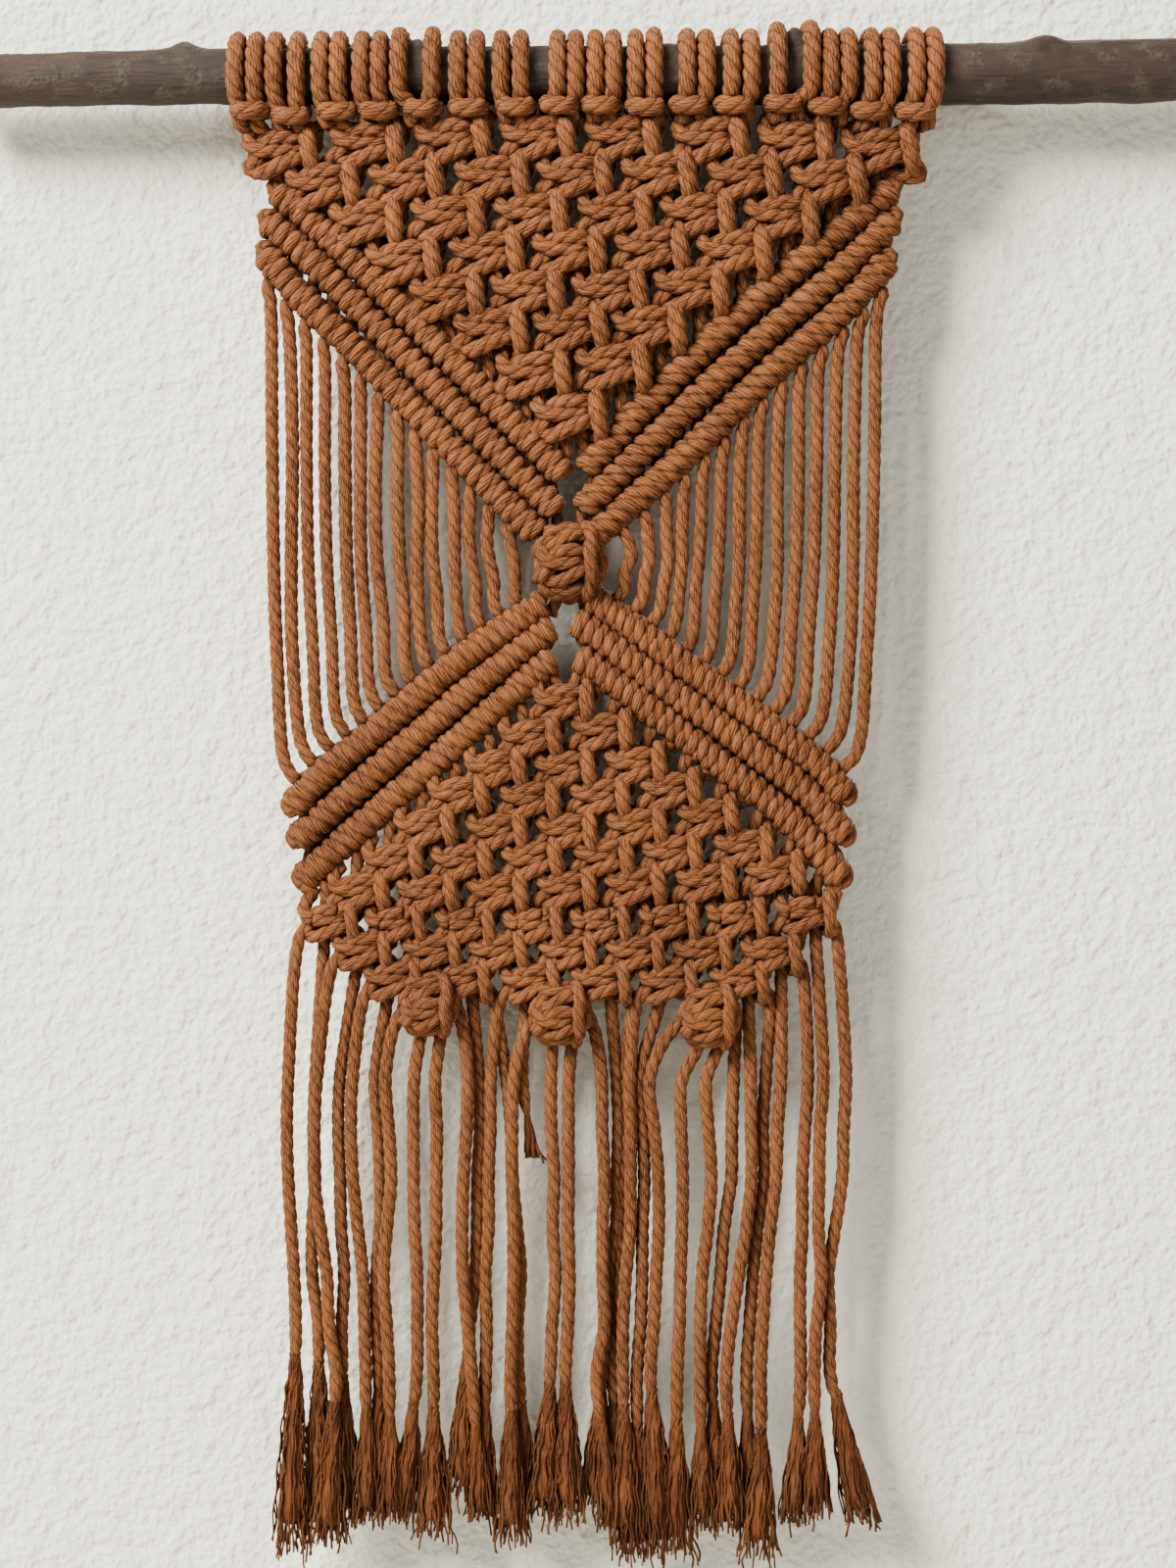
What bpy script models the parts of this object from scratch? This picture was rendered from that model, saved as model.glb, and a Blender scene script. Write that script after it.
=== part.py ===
"""Macrame wall hanging of twisted cotton cord, knotted on a short length of branch.

Three pieces: the branch, the knotted macrame and the fringe with the strip of
knots that it grows from. X runs along the branch, -Y is the front, +Z is up, and
the origin is in the branch's axis, halfway along. Sizes are in metres, given in
millimetres through MM.
"""

import math

import bmesh
import bpy
from mathutils import Vector

MM = 0.001

CLEARANCE = 0.3 * MM
NET_Y = -2.0 * MM
SHARP_ANGLE = math.radians(48.0)

# Branch
BRANCH_HALF_LENGTH = 220.0 * MM
BRANCH_RADIUS_LEFT = 8.9 * MM
BRANCH_RADIUS_RIGHT = 10.6 * MM
BRANCH_STATIONS = 16
BRANCH_SIDES = 14
BRANCH_WAVER = 0.5 * MM
BRANCH_END_RISE = 2.6 * MM
# Stumps of twigs: place along the branch, height above its surface, width.
STUMP_SIDES = 8
TWIG_STUMPS = (
    {"x": -136.0 * MM, "height": 2.6 * MM, "width": 7.0 * MM},
    {"x": 155.0 * MM, "height": 2.0 * MM, "width": 8.0 * MM},
)

# Lark's head knots on the branch
HEADS = 16
HEAD_PITCH = 14.93 * MM
HEADS_CENTRE_X = -2.0 * MM
HEAD_WIDTH = 12.0 * MM
HEAD_THICKNESS = 4.6 * MM
HEAD_SIDES = 8
HEAD_GROOVE = 1.6 * MM
HEAD_CREST = 0.55
HEAD_LINK_DEPTH = 0.4 * MM
HEAD_LINK_FRONT_Y = -10.0 * MM
# The bar's sections: place along it and size, both as shares.
HEAD_BAR_SECTIONS = ((-0.5, 0.7), (-0.3, 1.0), (0.3, 1.0), (0.5, 0.7))
HEAD_BAR = {"y": -8.2 * MM, "z": -13.4 * MM, "radius": 3.3 * MM, "length": 14.0 * MM, "sides": 5}

# Fields of alternating square knots, as rows of lozenges
UPPER_KNOT = {
    "half_width": 11.0 * MM,
    "half_height": 7.2 * MM,
    "top_half": 4.6 * MM,
    "side_half": 2.2 * MM,
    "rim": 3.7 * MM,
    "front": 6.4 * MM,
    "back": 5.4 * MM,
}
LOWER_KNOT = {
    "half_width": 9.2 * MM,
    "half_height": 5.9 * MM,
    "top_half": 3.9 * MM,
    "side_half": 1.8 * MM,
    "rim": 3.6 * MM,
    "front": 6.2 * MM,
    "back": 5.2 * MM,
}
RIDGE_SHARE = 0.5
UPPER_ROWS = 8
UPPER_TOP_Z = -24.4 * MM
UPPER_ROW_PITCH = 13.1 * MM
UPPER_PITCH = 29.0 * MM
UPPER_PITCH_LOSS = 0.42 * MM
UPPER_CENTRES_X = (-1.5 * MM, -5.2 * MM)
UPPER_STUB = 6.0 * MM
CORNER_STUB = {"inward": 1.5 * MM, "down": 7.0 * MM}
LOWER_ROWS = 10
LOWER_WIDEST_ROW = 7
STRIP_FIRST_ROW = 7
LOWER_TOP_Z = -213.3 * MM
LOWER_ROW_PITCH = 10.5 * MM
LOWER_PITCH = 22.8 * MM
LOWER_CENTRE_X = -5.5 * MM
LOWER_STUB = 9.0 * MM
STRIP_STUB = 5.2 * MM
STUB_TAPER = 0.86

# Bands of three double half hitch bars, named by their outer and inner ends
BARS = 3
CORDS_PER_BAR = 15
BAR_RADIUS = 5.2 * MM
BAR_GROOVE = 0.5
BAR_RIB = 0.86
BAR_TIP = 0.6
BAR_RISE = 1.3
BAR_FLAT = 0.35
BANDS = {
    "upper_left": {
        "outer": ((-107.5, -38.7), (-109.0, -53.0), (-108.5, -68.0)),
        "inner": ((-8.0, -135.0), (-9.0, -148.5), (-12.5, -158.0)),
    },
    "upper_right": {
        "outer": ((106.0, -37.3), (104.0, -50.7), (101.0, -65.5)),
        "inner": ((-3.0, -135.6), (-2.5, -148.0), (1.0, -158.0)),
    },
    "lower_left": {
        "outer": ((-102.5, -246.0), (-102.0, -261.0), (-99.5, -275.0)),
        "inner": ((-14.0, -178.0), (-11.0, -187.0), (-11.5, -198.0)),
    },
    "lower_right": {
        "outer": ((89.0, -242.0), (89.0, -258.0), (87.0, -272.5)),
        "inner": ((-1.5, -178.0), (-4.0, -187.0), (-3.5, -198.0)),
    },
}

# Floats: the loose strands between the upper and the lower band of each side
FLOATS = 14
FLOAT_STEPS = 5
FLOAT_HALF_WIDTH = 2.7 * MM
FLOAT_BOW = 6.0 * MM
FLOAT_BOW_CORDS = 3.0
FLOAT_SIDES = {
    "left": {"top": (-108.5, -21.5), "bottom": (-99.5, -22.0), "inward": 1.0},
    "right": {"top": (101.5, 10.5), "bottom": (85.5, 10.0), "inward": -1.0},
}

# Berry knots: centre X and Z, with the radii along X, Y and Z
CENTRE_BERRY = {"x": -6.7, "z": -166.5, "radii": (13.0, 10.0, 13.6)}
EDGE_BERRIES = (
    {"x": -54.3, "z": -315.6, "radii": (11.0, 8.6, 10.6)},
    {"x": -9.3, "z": -317.6, "radii": (11.4, 8.6, 10.8)},
    {"x": 40.7, "z": -317.6, "radii": (11.4, 8.6, 10.8)},
)
BERRY_FORWARD = 4.5 * MM

# Fringe
STRANDS = 32
STRAND_PITCH = 6.0 * MM
STRANDS_CENTRE_X = -5.5 * MM
STRAND_HALF_WIDTH = 2.6 * MM
STRAND_ROOT_PITCH = 4.3 * MM
STRAND_KNOT_STRANDS = 4
FREE_Z = -341.0 * MM
UNLAID_Z = -436.0 * MM
END_Z = -503.0 * MM
END_STAGGER = 3.0 * MM
SHORT_STRAND = 15
SHORT_STRAND_END_Z = -366.0 * MM
HANG_STEPS = 4
HANG_WAVE = 0.9 * MM
LEAN = -4.0 * MM
TUFT_WIDTH = 2.75 * MM
TUFT_DEPTH = 4.0 * MM

COTTON_COLOUR = (0.42, 0.165, 0.065, 1.0)
FRINGE_COLOUR = (0.39, 0.150, 0.058, 1.0)
BARK_COLOUR = (0.085, 0.040, 0.030, 1.0)


def clear_scene():
    """Removes every object that the scene opens with."""
    for obj in list(bpy.data.objects):
        bpy.data.objects.remove(obj, do_unlink=True)


def make_material(name, colour, roughness):
    """Returns a Principled material of one colour, which no metal or coat changes."""
    material = bpy.data.materials.new(name)
    material.use_nodes = True
    shader = material.node_tree.nodes["Principled BSDF"]
    shader.inputs["Base Color"].default_value = colour
    shader.inputs["Roughness"].default_value = roughness
    shader.inputs["Metallic"].default_value = 0.0
    return material


def blend(first, second, share):
    """Returns the value that lies at this share of the way from first to second."""
    return first + (second - first) * share


def finish_mesh(name, bm, material, collection):
    """Turns the bmesh into an object with its faces outward and its round parts smooth, and returns it."""
    bmesh.ops.recalc_face_normals(bm, faces=bm.faces[:])
    mesh = bpy.data.meshes.new(name)
    bm.to_mesh(mesh)
    bm.free()
    mesh.materials.append(material)
    mesh.shade_smooth()
    mesh.set_sharp_from_angle(angle=SHARP_ANGLE)
    obj = bpy.data.objects.new(name, mesh)
    collection.objects.link(obj)
    return obj


def loft(bm, rings, closed=False):
    """Joins rings of points by quads, and caps the two ends unless the rings close on themselves."""
    made = [[bm.verts.new(point) for point in ring] for ring in rings]
    following = made[1:] + (made[:1] if closed else [])
    for here, there in zip(made, following):
        for index, vert in enumerate(here):
            after = (index + 1) % len(here)
            bm.faces.new((vert, here[after], there[after], there[index]))
    if not closed:
        bm.faces.new(made[0])
        bm.faces.new(made[-1])


def strand_rings(path, half_widths):
    """Returns a level four-sided ring about each point of a strand that runs mainly downward."""
    rings = []
    for (x, y, z), (wide, deep) in zip(path, half_widths):
        rings.append(((x - wide, y, z), (x, y - deep, z), (x + wide, y, z), (x, y + deep, z)))
    return rings


def make_group(name):
    """Returns a new collection for the shapes that are joined into one piece."""
    group = bpy.data.collections.new(name)
    bpy.context.scene.collection.children.link(group)
    return group


def join_group(name, group, material):
    """Makes one body out of every shape in the group, which stays hidden as a set of guides."""
    shapes = list(group.objects)
    for shape in shapes:
        shape.hide_render = True
        shape.display_type = "WIRE"
    body = bpy.data.objects.new(name, shapes[0].data.copy())
    body.data.name = name
    group.objects.unlink(shapes[0])
    bpy.data.objects.remove(shapes[0], do_unlink=True)
    bpy.context.scene.collection.objects.link(body)
    body.data.materials.clear()
    body.data.materials.append(material)
    union = body.modifiers.new("join_shapes", "BOOLEAN")
    union.operation = "UNION"
    union.solver = "EXACT"
    union.operand_type = "COLLECTION"
    union.collection = group
    return body


# ---------------------------------------------------------------- branch


def branch_radius(x):
    """Returns the branch's radius at this place along it."""
    share = (x + BRANCH_HALF_LENGTH) / (2.0 * BRANCH_HALF_LENGTH)
    return blend(BRANCH_RADIUS_LEFT, BRANCH_RADIUS_RIGHT, share)


def branch_z(x):
    """Returns the height of the branch's slightly bent axis at this place along it."""
    return BRANCH_END_RISE * (x / BRANCH_HALF_LENGTH) ** 3


def make_branch(material):
    """Makes the branch with its two sawn ends and the stumps of its twigs."""
    bm = bmesh.new()
    rings = []
    for station in range(BRANCH_STATIONS + 1):
        x = blend(-BRANCH_HALF_LENGTH, BRANCH_HALF_LENGTH, station / BRANCH_STATIONS)
        radius = branch_radius(x) - BRANCH_WAVER * math.sin(2.3 * station) ** 2
        ring = []
        for side in range(BRANCH_SIDES):
            turn = math.tau * side / BRANCH_SIDES
            ring.append((x, radius * math.sin(turn), branch_z(x) + radius * math.cos(turn)))
        rings.append(ring)
    loft(bm, rings)
    group = make_group("branch_shapes")
    finish_mesh("branch_stem", bm, material, group)
    for number, stump in enumerate(TWIG_STUMPS):
        top = branch_radius(stump["x"]) + stump["height"]
        stump_bm = bmesh.new()
        bmesh.ops.create_cone(
            stump_bm,
            cap_ends=True,
            segments=STUMP_SIDES,
            radius1=stump["width"] / 2.0,
            radius2=stump["width"] / 4.0,
            depth=top / 2.0,
        )
        place = (stump["x"], 0.0, branch_z(stump["x"]) + 0.75 * top)
        bmesh.ops.translate(stump_bm, verts=stump_bm.verts[:], vec=place)
        finish_mesh(f"branch_stump_{number}", stump_bm, material, group)
    return join_group("branch", group, material)


# ---------------------------------------------------------------- lark's heads


def make_heads(material, group):
    """Makes the sixteen lark's head knots: a ring round the branch and a bar in front under it."""
    for number in range(HEADS):
        x = HEADS_CENTRE_X + (number - (HEADS - 1) / 2.0) * HEAD_PITCH
        inner = (branch_radius(x + HEAD_WIDTH) + CLEARANCE) / math.cos(math.pi / HEAD_SIDES)
        outer = inner + HEAD_THICKNESS
        half = HEAD_WIDTH / 2.0
        section = (
            (-half, inner),
            (-half * HEAD_CREST, outer),
            (0.0, outer - HEAD_GROOVE),
            (half * HEAD_CREST, outer),
            (half, inner),
        )
        rings = []
        for side in range(HEAD_SIDES):
            turn = math.tau * side / HEAD_SIDES
            ring = [(x + dx, r * math.sin(turn), branch_z(x) + r * math.cos(turn)) for dx, r in section]
            rings.append(ring)
        bm = bmesh.new()
        loft(bm, rings, closed=True)
        finish_mesh(f"head_ring_{number}", bm, material, group)

        bm = bmesh.new()
        rings = []
        for place, size in HEAD_BAR_SECTIONS:
            ring = []
            for side in range(HEAD_BAR["sides"]):
                turn = math.tau * side / HEAD_BAR["sides"]
                radius = HEAD_BAR["radius"] * size
                ring.append(
                    (
                        x + place * HEAD_BAR["length"],
                        HEAD_BAR["y"] + radius * math.sin(turn),
                        HEAD_BAR["z"] + radius * math.cos(turn),
                    )
                )
            rings.append(ring)
        loft(bm, rings)
        finish_mesh(f"head_bar_{number}", bm, material, group)


# ---------------------------------------------------------------- square knots


class KnotField:
    """A field of alternating square knots: lozenges that meet their neighbours at their slanting faces."""

    def __init__(self, knot, place):
        self.bm = bmesh.new()
        self.knot = knot
        self.place = place
        self.faces_open = {}

    def add_knot(self, row, column):
        """Adds one lozenge, and keeps its four slanting faces open under its row and column."""
        centre_x, centre_z = self.place(row, column)
        wide = self.knot["half_width"]
        high = self.knot["half_height"]
        top = self.knot["top_half"]
        side = self.knot["side_half"]
        outline = (
            (top, high),
            (-top, high),
            (-wide, side),
            (-wide, -side),
            (-top, -high),
            (top, -high),
            (wide, -side),
            (wide, side),
        )

        def vert(x, y, z):
            return self.bm.verts.new((centre_x + x, NET_Y + y, centre_z + z))

        front = [vert(x, -self.knot["rim"], z) for x, z in outline]
        back = [vert(x, self.knot["rim"], z) for x, z in outline]
        right, left = (vert(x, -self.knot["front"], 0.0) for x in (wide * RIDGE_SHARE, -wide * RIDGE_SHARE))
        self.bm.faces.new((front[0], front[1], left, right))
        self.bm.faces.new((front[4], front[5], right, left))
        for ridge_end, corners in ((left, (1, 2, 3, 4)), (right, (5, 6, 7, 0))):
            for first, second in zip(corners, corners[1:]):
                self.bm.faces.new((front[first], front[second], ridge_end))
        peak = vert(0.0, self.knot["back"], 0.0)
        for first in range(8):
            self.bm.faces.new((back[first], back[(first + 1) % 8], peak))
        for start in range(0, 8, 2):
            self.bm.faces.new((front[start], front[start + 1], back[start + 1], back[start]))
        for name, first, second in (
            ("upper_left", 2, 1),
            ("lower_left", 3, 4),
            ("lower_right", 5, 6),
            ("upper_right", 0, 7),
        ):
            ring = (front[first], front[second], back[second], back[first])
            self.faces_open[row, column, name] = ring

    def bridge(self, here, there):
        """Joins two open faces by a short neck."""
        for index in range(4):
            after = (index + 1) % 4
            self.bm.faces.new((here[index], here[after], there[after], there[index]))

    def end_at(self, ring, points):
        """Runs an open face out to these four points and closes it there."""
        tip = [self.bm.verts.new(point) for point in points]
        self.bridge(ring, tip)
        self.bm.faces.new(tip)

    def join_neighbours(self):
        """Bridges every pair of slanting faces that look at each other."""
        for row, column, name in list(self.faces_open):
            for lower, step, upper in (("lower_left", -1, "upper_right"), ("lower_right", 1, "upper_left")):
                neighbour = (row + 1, column + step, upper)
                if name == lower and neighbour in self.faces_open:
                    self.bridge(self.faces_open.pop((row, column, name)), self.faces_open.pop(neighbour))

    def end_faces(self, stub, parted=None, heads=False):
        """Closes every face still open: with a stub that reaches the bar beside it, or flat where it is 0.

        Args:
            stub: maps a face's name to the length of the pair of strands that leaves it.
            parted: says whether the knot in this row and column is part of another piece,
                which is then met halfway and left a clearance apart.
            heads: whether the first row hangs from the lark's heads.
        """
        for (row, column, name), ring in self.faces_open.items():
            step_row = -1 if name.startswith("upper") else 1
            step_column = -1 if name.endswith("left") else 1
            points = [vert.co.copy() for vert in ring]
            if parted and parted(row + step_row, column + step_column):
                there = self.place(row + step_row, column + step_column)
                self.end_at(ring, halfway_ring(points, self.place(row, column), there))
            elif heads and row == 0 and step_row < 0:
                self.end_at(ring, [head_link_point(point) for point in points])
            elif heads and row == 0:
                inward = Vector((-step_column * CORNER_STUB["inward"], 0.0, -CORNER_STUB["down"]))
                self.end_at(ring, [point + inward for point in points])
            elif stub[name]:
                across = step_column * self.knot["half_width"]
                outward = Vector((across, 0.0, -step_row * self.knot["half_height"]))
                centre = sum(points, Vector()) / len(points)
                tip = centre + outward.normalized() * stub[name]
                self.end_at(ring, [tip + (point - centre) * STUB_TAPER for point in points])
            else:
                self.bm.faces.new(ring)
        self.faces_open.clear()


def head_link_point(point):
    """Returns where an edge of the pair of strands under a lark's head ends, inside the head."""
    y = HEAD_LINK_FRONT_Y if point.y < NET_Y else point.y
    under_branch = branch_z(point.x) - branch_radius(point.x)
    return Vector((point.x, y, under_branch - CLEARANCE - HEAD_LINK_DEPTH))


def halfway_ring(points, here, there):
    """Returns a slanting face's points moved halfway to the knot it looks at, less half the clearance."""
    middle = Vector(((here[0] + there[0]) / 2.0, 0.0, (here[1] + there[1]) / 2.0))
    away = Vector((here[0] - there[0], 0.0, here[1] - there[1])).normalized()
    middle += away * CLEARANCE / 2.0
    half_edge = (points[0] - points[1]) / 2.0
    ends = (1.0, -1.0, -1.0, 1.0)
    return [Vector((middle.x, point.y, middle.z)) + half_edge * end for point, end in zip(points, ends)]


def upper_place(row, column):
    """Returns the X and Z of a knot in the upper field."""
    centre = blend(*UPPER_CENTRES_X, min(row / 3.0, 1.0))
    pitch = UPPER_PITCH - UPPER_PITCH_LOSS * row
    return centre + column * pitch / 2.0, UPPER_TOP_Z - row * UPPER_ROW_PITCH


def lower_place(row, column):
    """Returns the X and Z of a knot in the lower field or in the fringe's strip."""
    return LOWER_CENTRE_X + column * LOWER_PITCH / 2.0, LOWER_TOP_Z - row * LOWER_ROW_PITCH


def row_columns(knots):
    """Returns the columns of a row of this many knots, two apart and even about 0."""
    return range(1 - knots, knots, 2)


def lower_knots(row):
    """Returns how many knots a row of the lower field has."""
    return row + 1 if row <= LOWER_WIDEST_ROW else 2 * LOWER_WIDEST_ROW + 1 - row


def make_upper_field(material, group):
    """Makes the triangle of knots that points down between the upper bands."""
    field = KnotField(UPPER_KNOT, upper_place)
    for row in range(UPPER_ROWS):
        for column in row_columns(UPPER_ROWS - row):
            field.add_knot(row, column)
    field.join_neighbours()
    stub = dict.fromkeys(("upper_left", "upper_right", "lower_left", "lower_right"), UPPER_STUB)
    field.end_faces(stub, heads=True)
    finish_mesh("upper_field", field.bm, material, group)


def make_lower_field(material, group):
    """Makes the triangle of knots that widens downward from the lower bands' point."""
    field = KnotField(LOWER_KNOT, lower_place)
    for row in range(STRIP_FIRST_ROW):
        for column in row_columns(lower_knots(row)):
            field.add_knot(row, column)
    field.join_neighbours()
    stub = dict.fromkeys(("upper_left", "upper_right"), LOWER_STUB)
    field.end_faces(stub, parted=lambda row, column: row == STRIP_FIRST_ROW)
    finish_mesh("lower_field", field.bm, material, group)


def make_strip(material, group):
    """Makes the last rows of knots, which carry the fringe."""
    field = KnotField(LOWER_KNOT, lower_place)
    for row in range(STRIP_FIRST_ROW, LOWER_ROWS):
        for column in row_columns(lower_knots(row)):
            field.add_knot(row, column)
    field.join_neighbours()
    edge = lower_knots(STRIP_FIRST_ROW) - 1
    stub = {"upper_left": STRIP_STUB, "upper_right": STRIP_STUB, "lower_left": 0.0, "lower_right": 0.0}
    field.end_faces(stub, parted=lambda row, column: row < STRIP_FIRST_ROW and abs(column) < edge)
    finish_mesh("strip_field", field.bm, material, group)


# ---------------------------------------------------------------- bands of bars


def make_bands(material, group):
    """Makes the four bands, each of three ribbed bars side by side."""
    for name, ends in BANDS.items():
        bm = bmesh.new()
        rings = []
        stations = 2 * CORDS_PER_BAR
        for station in range(stations + 1):
            share = station / stations
            rib = 1.0 if station % 2 else BAR_RIB
            if station in (0, stations):
                rib = BAR_TIP
            centres = [
                (blend(ox, ix, share) * MM, blend(oz, iz, share) * MM)
                for (ox, oz), (ix, iz) in zip(ends["outer"], ends["inner"])
            ]
            rings.append(band_ring(centres, BAR_RADIUS * rib))
        loft(bm, rings)
        finish_mesh(f"band_{name}", bm, material, group)


def band_ring(centres, radius):
    """Returns one upright section of a band: its bars' crests and grooves in front, and a plain back."""
    (top_x, top_z), (low_x, low_z) = centres[0], centres[-1]
    rise = BAR_RISE * radius
    ring = [(top_x, NET_Y, top_z + rise)]
    for number, (x, z) in enumerate(centres):
        if number:
            before_x, before_z = centres[number - 1]
            middle = ((x + before_x) / 2.0, NET_Y - radius * BAR_GROOVE, (z + before_z) / 2.0)
            ring.append(middle)
        ring.append((x, NET_Y - radius, z + BAR_FLAT * radius))
        ring.append((x, NET_Y - radius, z - BAR_FLAT * radius))
    ring.append((low_x, NET_Y, low_z - rise))
    ring.append((low_x, NET_Y + radius, low_z))
    ring.append((top_x, NET_Y + radius, top_z))
    return ring


# ---------------------------------------------------------------- floats and berries


def line_z(ends, bar, x):
    """Returns the height of a band's bar at this X."""
    ox, oz = ends["outer"][bar]
    ix, iz = ends["inner"][bar]
    return blend(oz, iz, (x - ox) / (ix - ox)) * MM


def make_floats(material, group):
    """Makes the loose strands of each side, the inner ones bowed round the centre berry."""
    for side, run in FLOAT_SIDES.items():
        for number in range(FLOATS):
            share = number / (FLOATS - 1)
            top_x = blend(*run["top"], share)
            bottom_x = blend(*run["bottom"], share)
            top_z = line_z(BANDS[f"upper_{side}"], BARS - 1, top_x)
            bottom_z = line_z(BANDS[f"lower_{side}"], 0, bottom_x)
            bow = FLOAT_BOW * math.exp((number - FLOATS + 1) / FLOAT_BOW_CORDS) * run["inward"]
            path = []
            for step in range(FLOAT_STEPS + 1):
                t = step / FLOAT_STEPS
                x = blend(top_x, bottom_x, t) * MM - bow * math.sin(math.pi * t)
                path.append((x, NET_Y, blend(top_z, bottom_z, t)))
            bm = bmesh.new()
            loft(bm, strand_rings(path, [(FLOAT_HALF_WIDTH, FLOAT_HALF_WIDTH)] * len(path)))
            finish_mesh(f"float_{side}_{number}", bm, material, group)


def make_berry(name, berry, material, group):
    """Makes one berry knot: a round lump that stands out in front."""
    bm = bmesh.new()
    bmesh.ops.create_uvsphere(bm, u_segments=10, v_segments=6, radius=1.0)
    bmesh.ops.scale(bm, verts=bm.verts[:], vec=[radius * MM for radius in berry["radii"]])
    centre = (berry["x"] * MM, NET_Y - BERRY_FORWARD, berry["z"] * MM)
    bmesh.ops.translate(bm, verts=bm.verts[:], vec=centre)
    finish_mesh(name, bm, material, group)


# ---------------------------------------------------------------- fringe


def strand_root(number):
    """Returns the X and Z where a strand of the fringe leaves its knot."""
    outer_rows = LOWER_ROWS - 1 - STRIP_FIRST_ROW
    from_edge = min(number, STRANDS - 1 - number)
    side = -1.0 if number < STRANDS / 2 else 1.0
    if from_edge < 2 * outer_rows:
        row = STRIP_FIRST_ROW + from_edge // 2
        knot_x, knot_z = lower_place(row, side * (lower_knots(row) - 1))
        place = 1.5 - from_edge % 2
    else:
        row = LOWER_ROWS - 1
        in_row = number - 2 * outer_rows
        knot_x, knot_z = lower_place(row, row_columns(lower_knots(row))[in_row // STRAND_KNOT_STRANDS])
        place = in_row % STRAND_KNOT_STRANDS - (STRAND_KNOT_STRANDS - 1) / 2.0
        side = 1.0
    return knot_x + side * place * STRAND_ROOT_PITCH, knot_z


def strand_path(number):
    """Returns the points of one strand of the fringe with its half width and half depth at each."""
    root_x, root_z = strand_root(number)
    free_x = STRANDS_CENTRE_X + (number - (STRANDS - 1) / 2.0) * STRAND_PITCH
    end_z = END_Z + END_STAGGER * math.sin(2.1 * number)
    points = [(root_x, NET_Y, root_z - 0.2 * LOWER_KNOT["half_height"])]
    widths = [(STRAND_HALF_WIDTH * 0.8, STRAND_HALF_WIDTH)]
    below = root_z - 1.2 * LOWER_KNOT["half_height"]
    points.append((blend(root_x, free_x, 0.25), NET_Y, below))
    widths.append((STRAND_HALF_WIDTH * 0.9, STRAND_HALF_WIDTH))
    for step in range(HANG_STEPS + 1):
        z = blend(FREE_Z, UNLAID_Z, step / HANG_STEPS)
        if number == SHORT_STRAND and z < SHORT_STRAND_END_Z:
            points.append((free_x, NET_Y, SHORT_STRAND_END_Z))
            widths.append((TUFT_WIDTH, TUFT_DEPTH))
            return points, widths
        lean = LEAN * ((z - FREE_Z) / (END_Z - FREE_Z)) ** 2 * number / STRANDS
        wave = HANG_WAVE * math.sin(0.7 * number + 1.1 * step)
        points.append((free_x + lean, NET_Y + wave, z))
        widths.append((STRAND_HALF_WIDTH, STRAND_HALF_WIDTH))
    tuft_x = free_x + LEAN * number / STRANDS
    points.append((tuft_x, NET_Y, blend(UNLAID_Z, end_z, 0.6)))
    widths.append((TUFT_WIDTH, TUFT_DEPTH))
    points.append((tuft_x, NET_Y, end_z))
    widths.append((TUFT_WIDTH * 0.5, TUFT_DEPTH * 0.6))
    return points, widths


def make_fringe(material):
    """Makes the strip of knots with its berries and the thirty-two strands that hang from it."""
    group = make_group("fringe_shapes")
    make_strip(material, group)
    for number, berry in enumerate(EDGE_BERRIES):
        make_berry(f"edge_berry_{number}", berry, material, group)
    for number in range(STRANDS):
        bm = bmesh.new()
        loft(bm, strand_rings(*strand_path(number)))
        finish_mesh(f"strand_{number}", bm, material, group)
    return join_group("fringe", group, material)


def make_macrame(material):
    """Makes the knotted hanging from its heads on the branch down to the last row above the strip."""
    group = make_group("macrame_shapes")
    make_upper_field(material, group)
    make_lower_field(material, group)
    make_bands(material, group)
    make_heads(material, group)
    make_floats(material, group)
    make_berry("centre_berry", CENTRE_BERRY, material, group)
    return join_group("macrame", group, material)


def main():
    """Builds the branch, the macrame and its fringe."""
    clear_scene()
    bark = make_material("bark", BARK_COLOUR, 0.75)
    cotton = make_material("cotton_cord", COTTON_COLOUR, 0.95)
    unlaid = make_material("cotton_fringe", FRINGE_COLOUR, 0.95)
    make_branch(bark)
    make_macrame(cotton)
    make_fringe(unlaid)


if __name__ == "__main__":
    main()
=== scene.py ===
"""A macrame wall hanging of laid cotton cord, tied on a rough branch.

Sizes are in millimetres unless a name says otherwise. X runs along the branch,
Y towards the wall and Z up. The origin is in the middle of the branch's axis.
"""

from __future__ import annotations

import logging
import math
import random
from dataclasses import dataclass, field, replace
from enum import Enum
from typing import Any, NamedTuple

import bmesh
import bpy
import numpy as np
from mathutils import Matrix, Vector, noise

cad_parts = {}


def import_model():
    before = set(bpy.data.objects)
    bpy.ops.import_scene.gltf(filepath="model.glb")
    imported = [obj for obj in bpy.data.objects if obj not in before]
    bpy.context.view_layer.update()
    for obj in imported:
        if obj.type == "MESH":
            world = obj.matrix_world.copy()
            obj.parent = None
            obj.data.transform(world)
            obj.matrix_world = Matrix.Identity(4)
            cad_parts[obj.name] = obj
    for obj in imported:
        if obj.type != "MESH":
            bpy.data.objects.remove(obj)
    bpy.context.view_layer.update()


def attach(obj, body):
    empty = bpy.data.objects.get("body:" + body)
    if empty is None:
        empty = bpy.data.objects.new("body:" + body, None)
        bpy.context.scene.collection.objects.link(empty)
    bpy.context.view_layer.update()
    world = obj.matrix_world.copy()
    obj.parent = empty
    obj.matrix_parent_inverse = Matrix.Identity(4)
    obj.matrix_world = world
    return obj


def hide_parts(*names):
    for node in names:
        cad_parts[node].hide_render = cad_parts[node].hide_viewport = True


MM = 0.001
ROOT = "root"
NET_Y = -2.0
STRANDS = 32
TAU = 2.0 * math.pi
# Painted shade: each cord vertex gets this attribute, 0 in the open to 1 closed in, and
# the cotton's base colour is darkened by it.
CREVICE_SHADE = "crevice"
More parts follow.
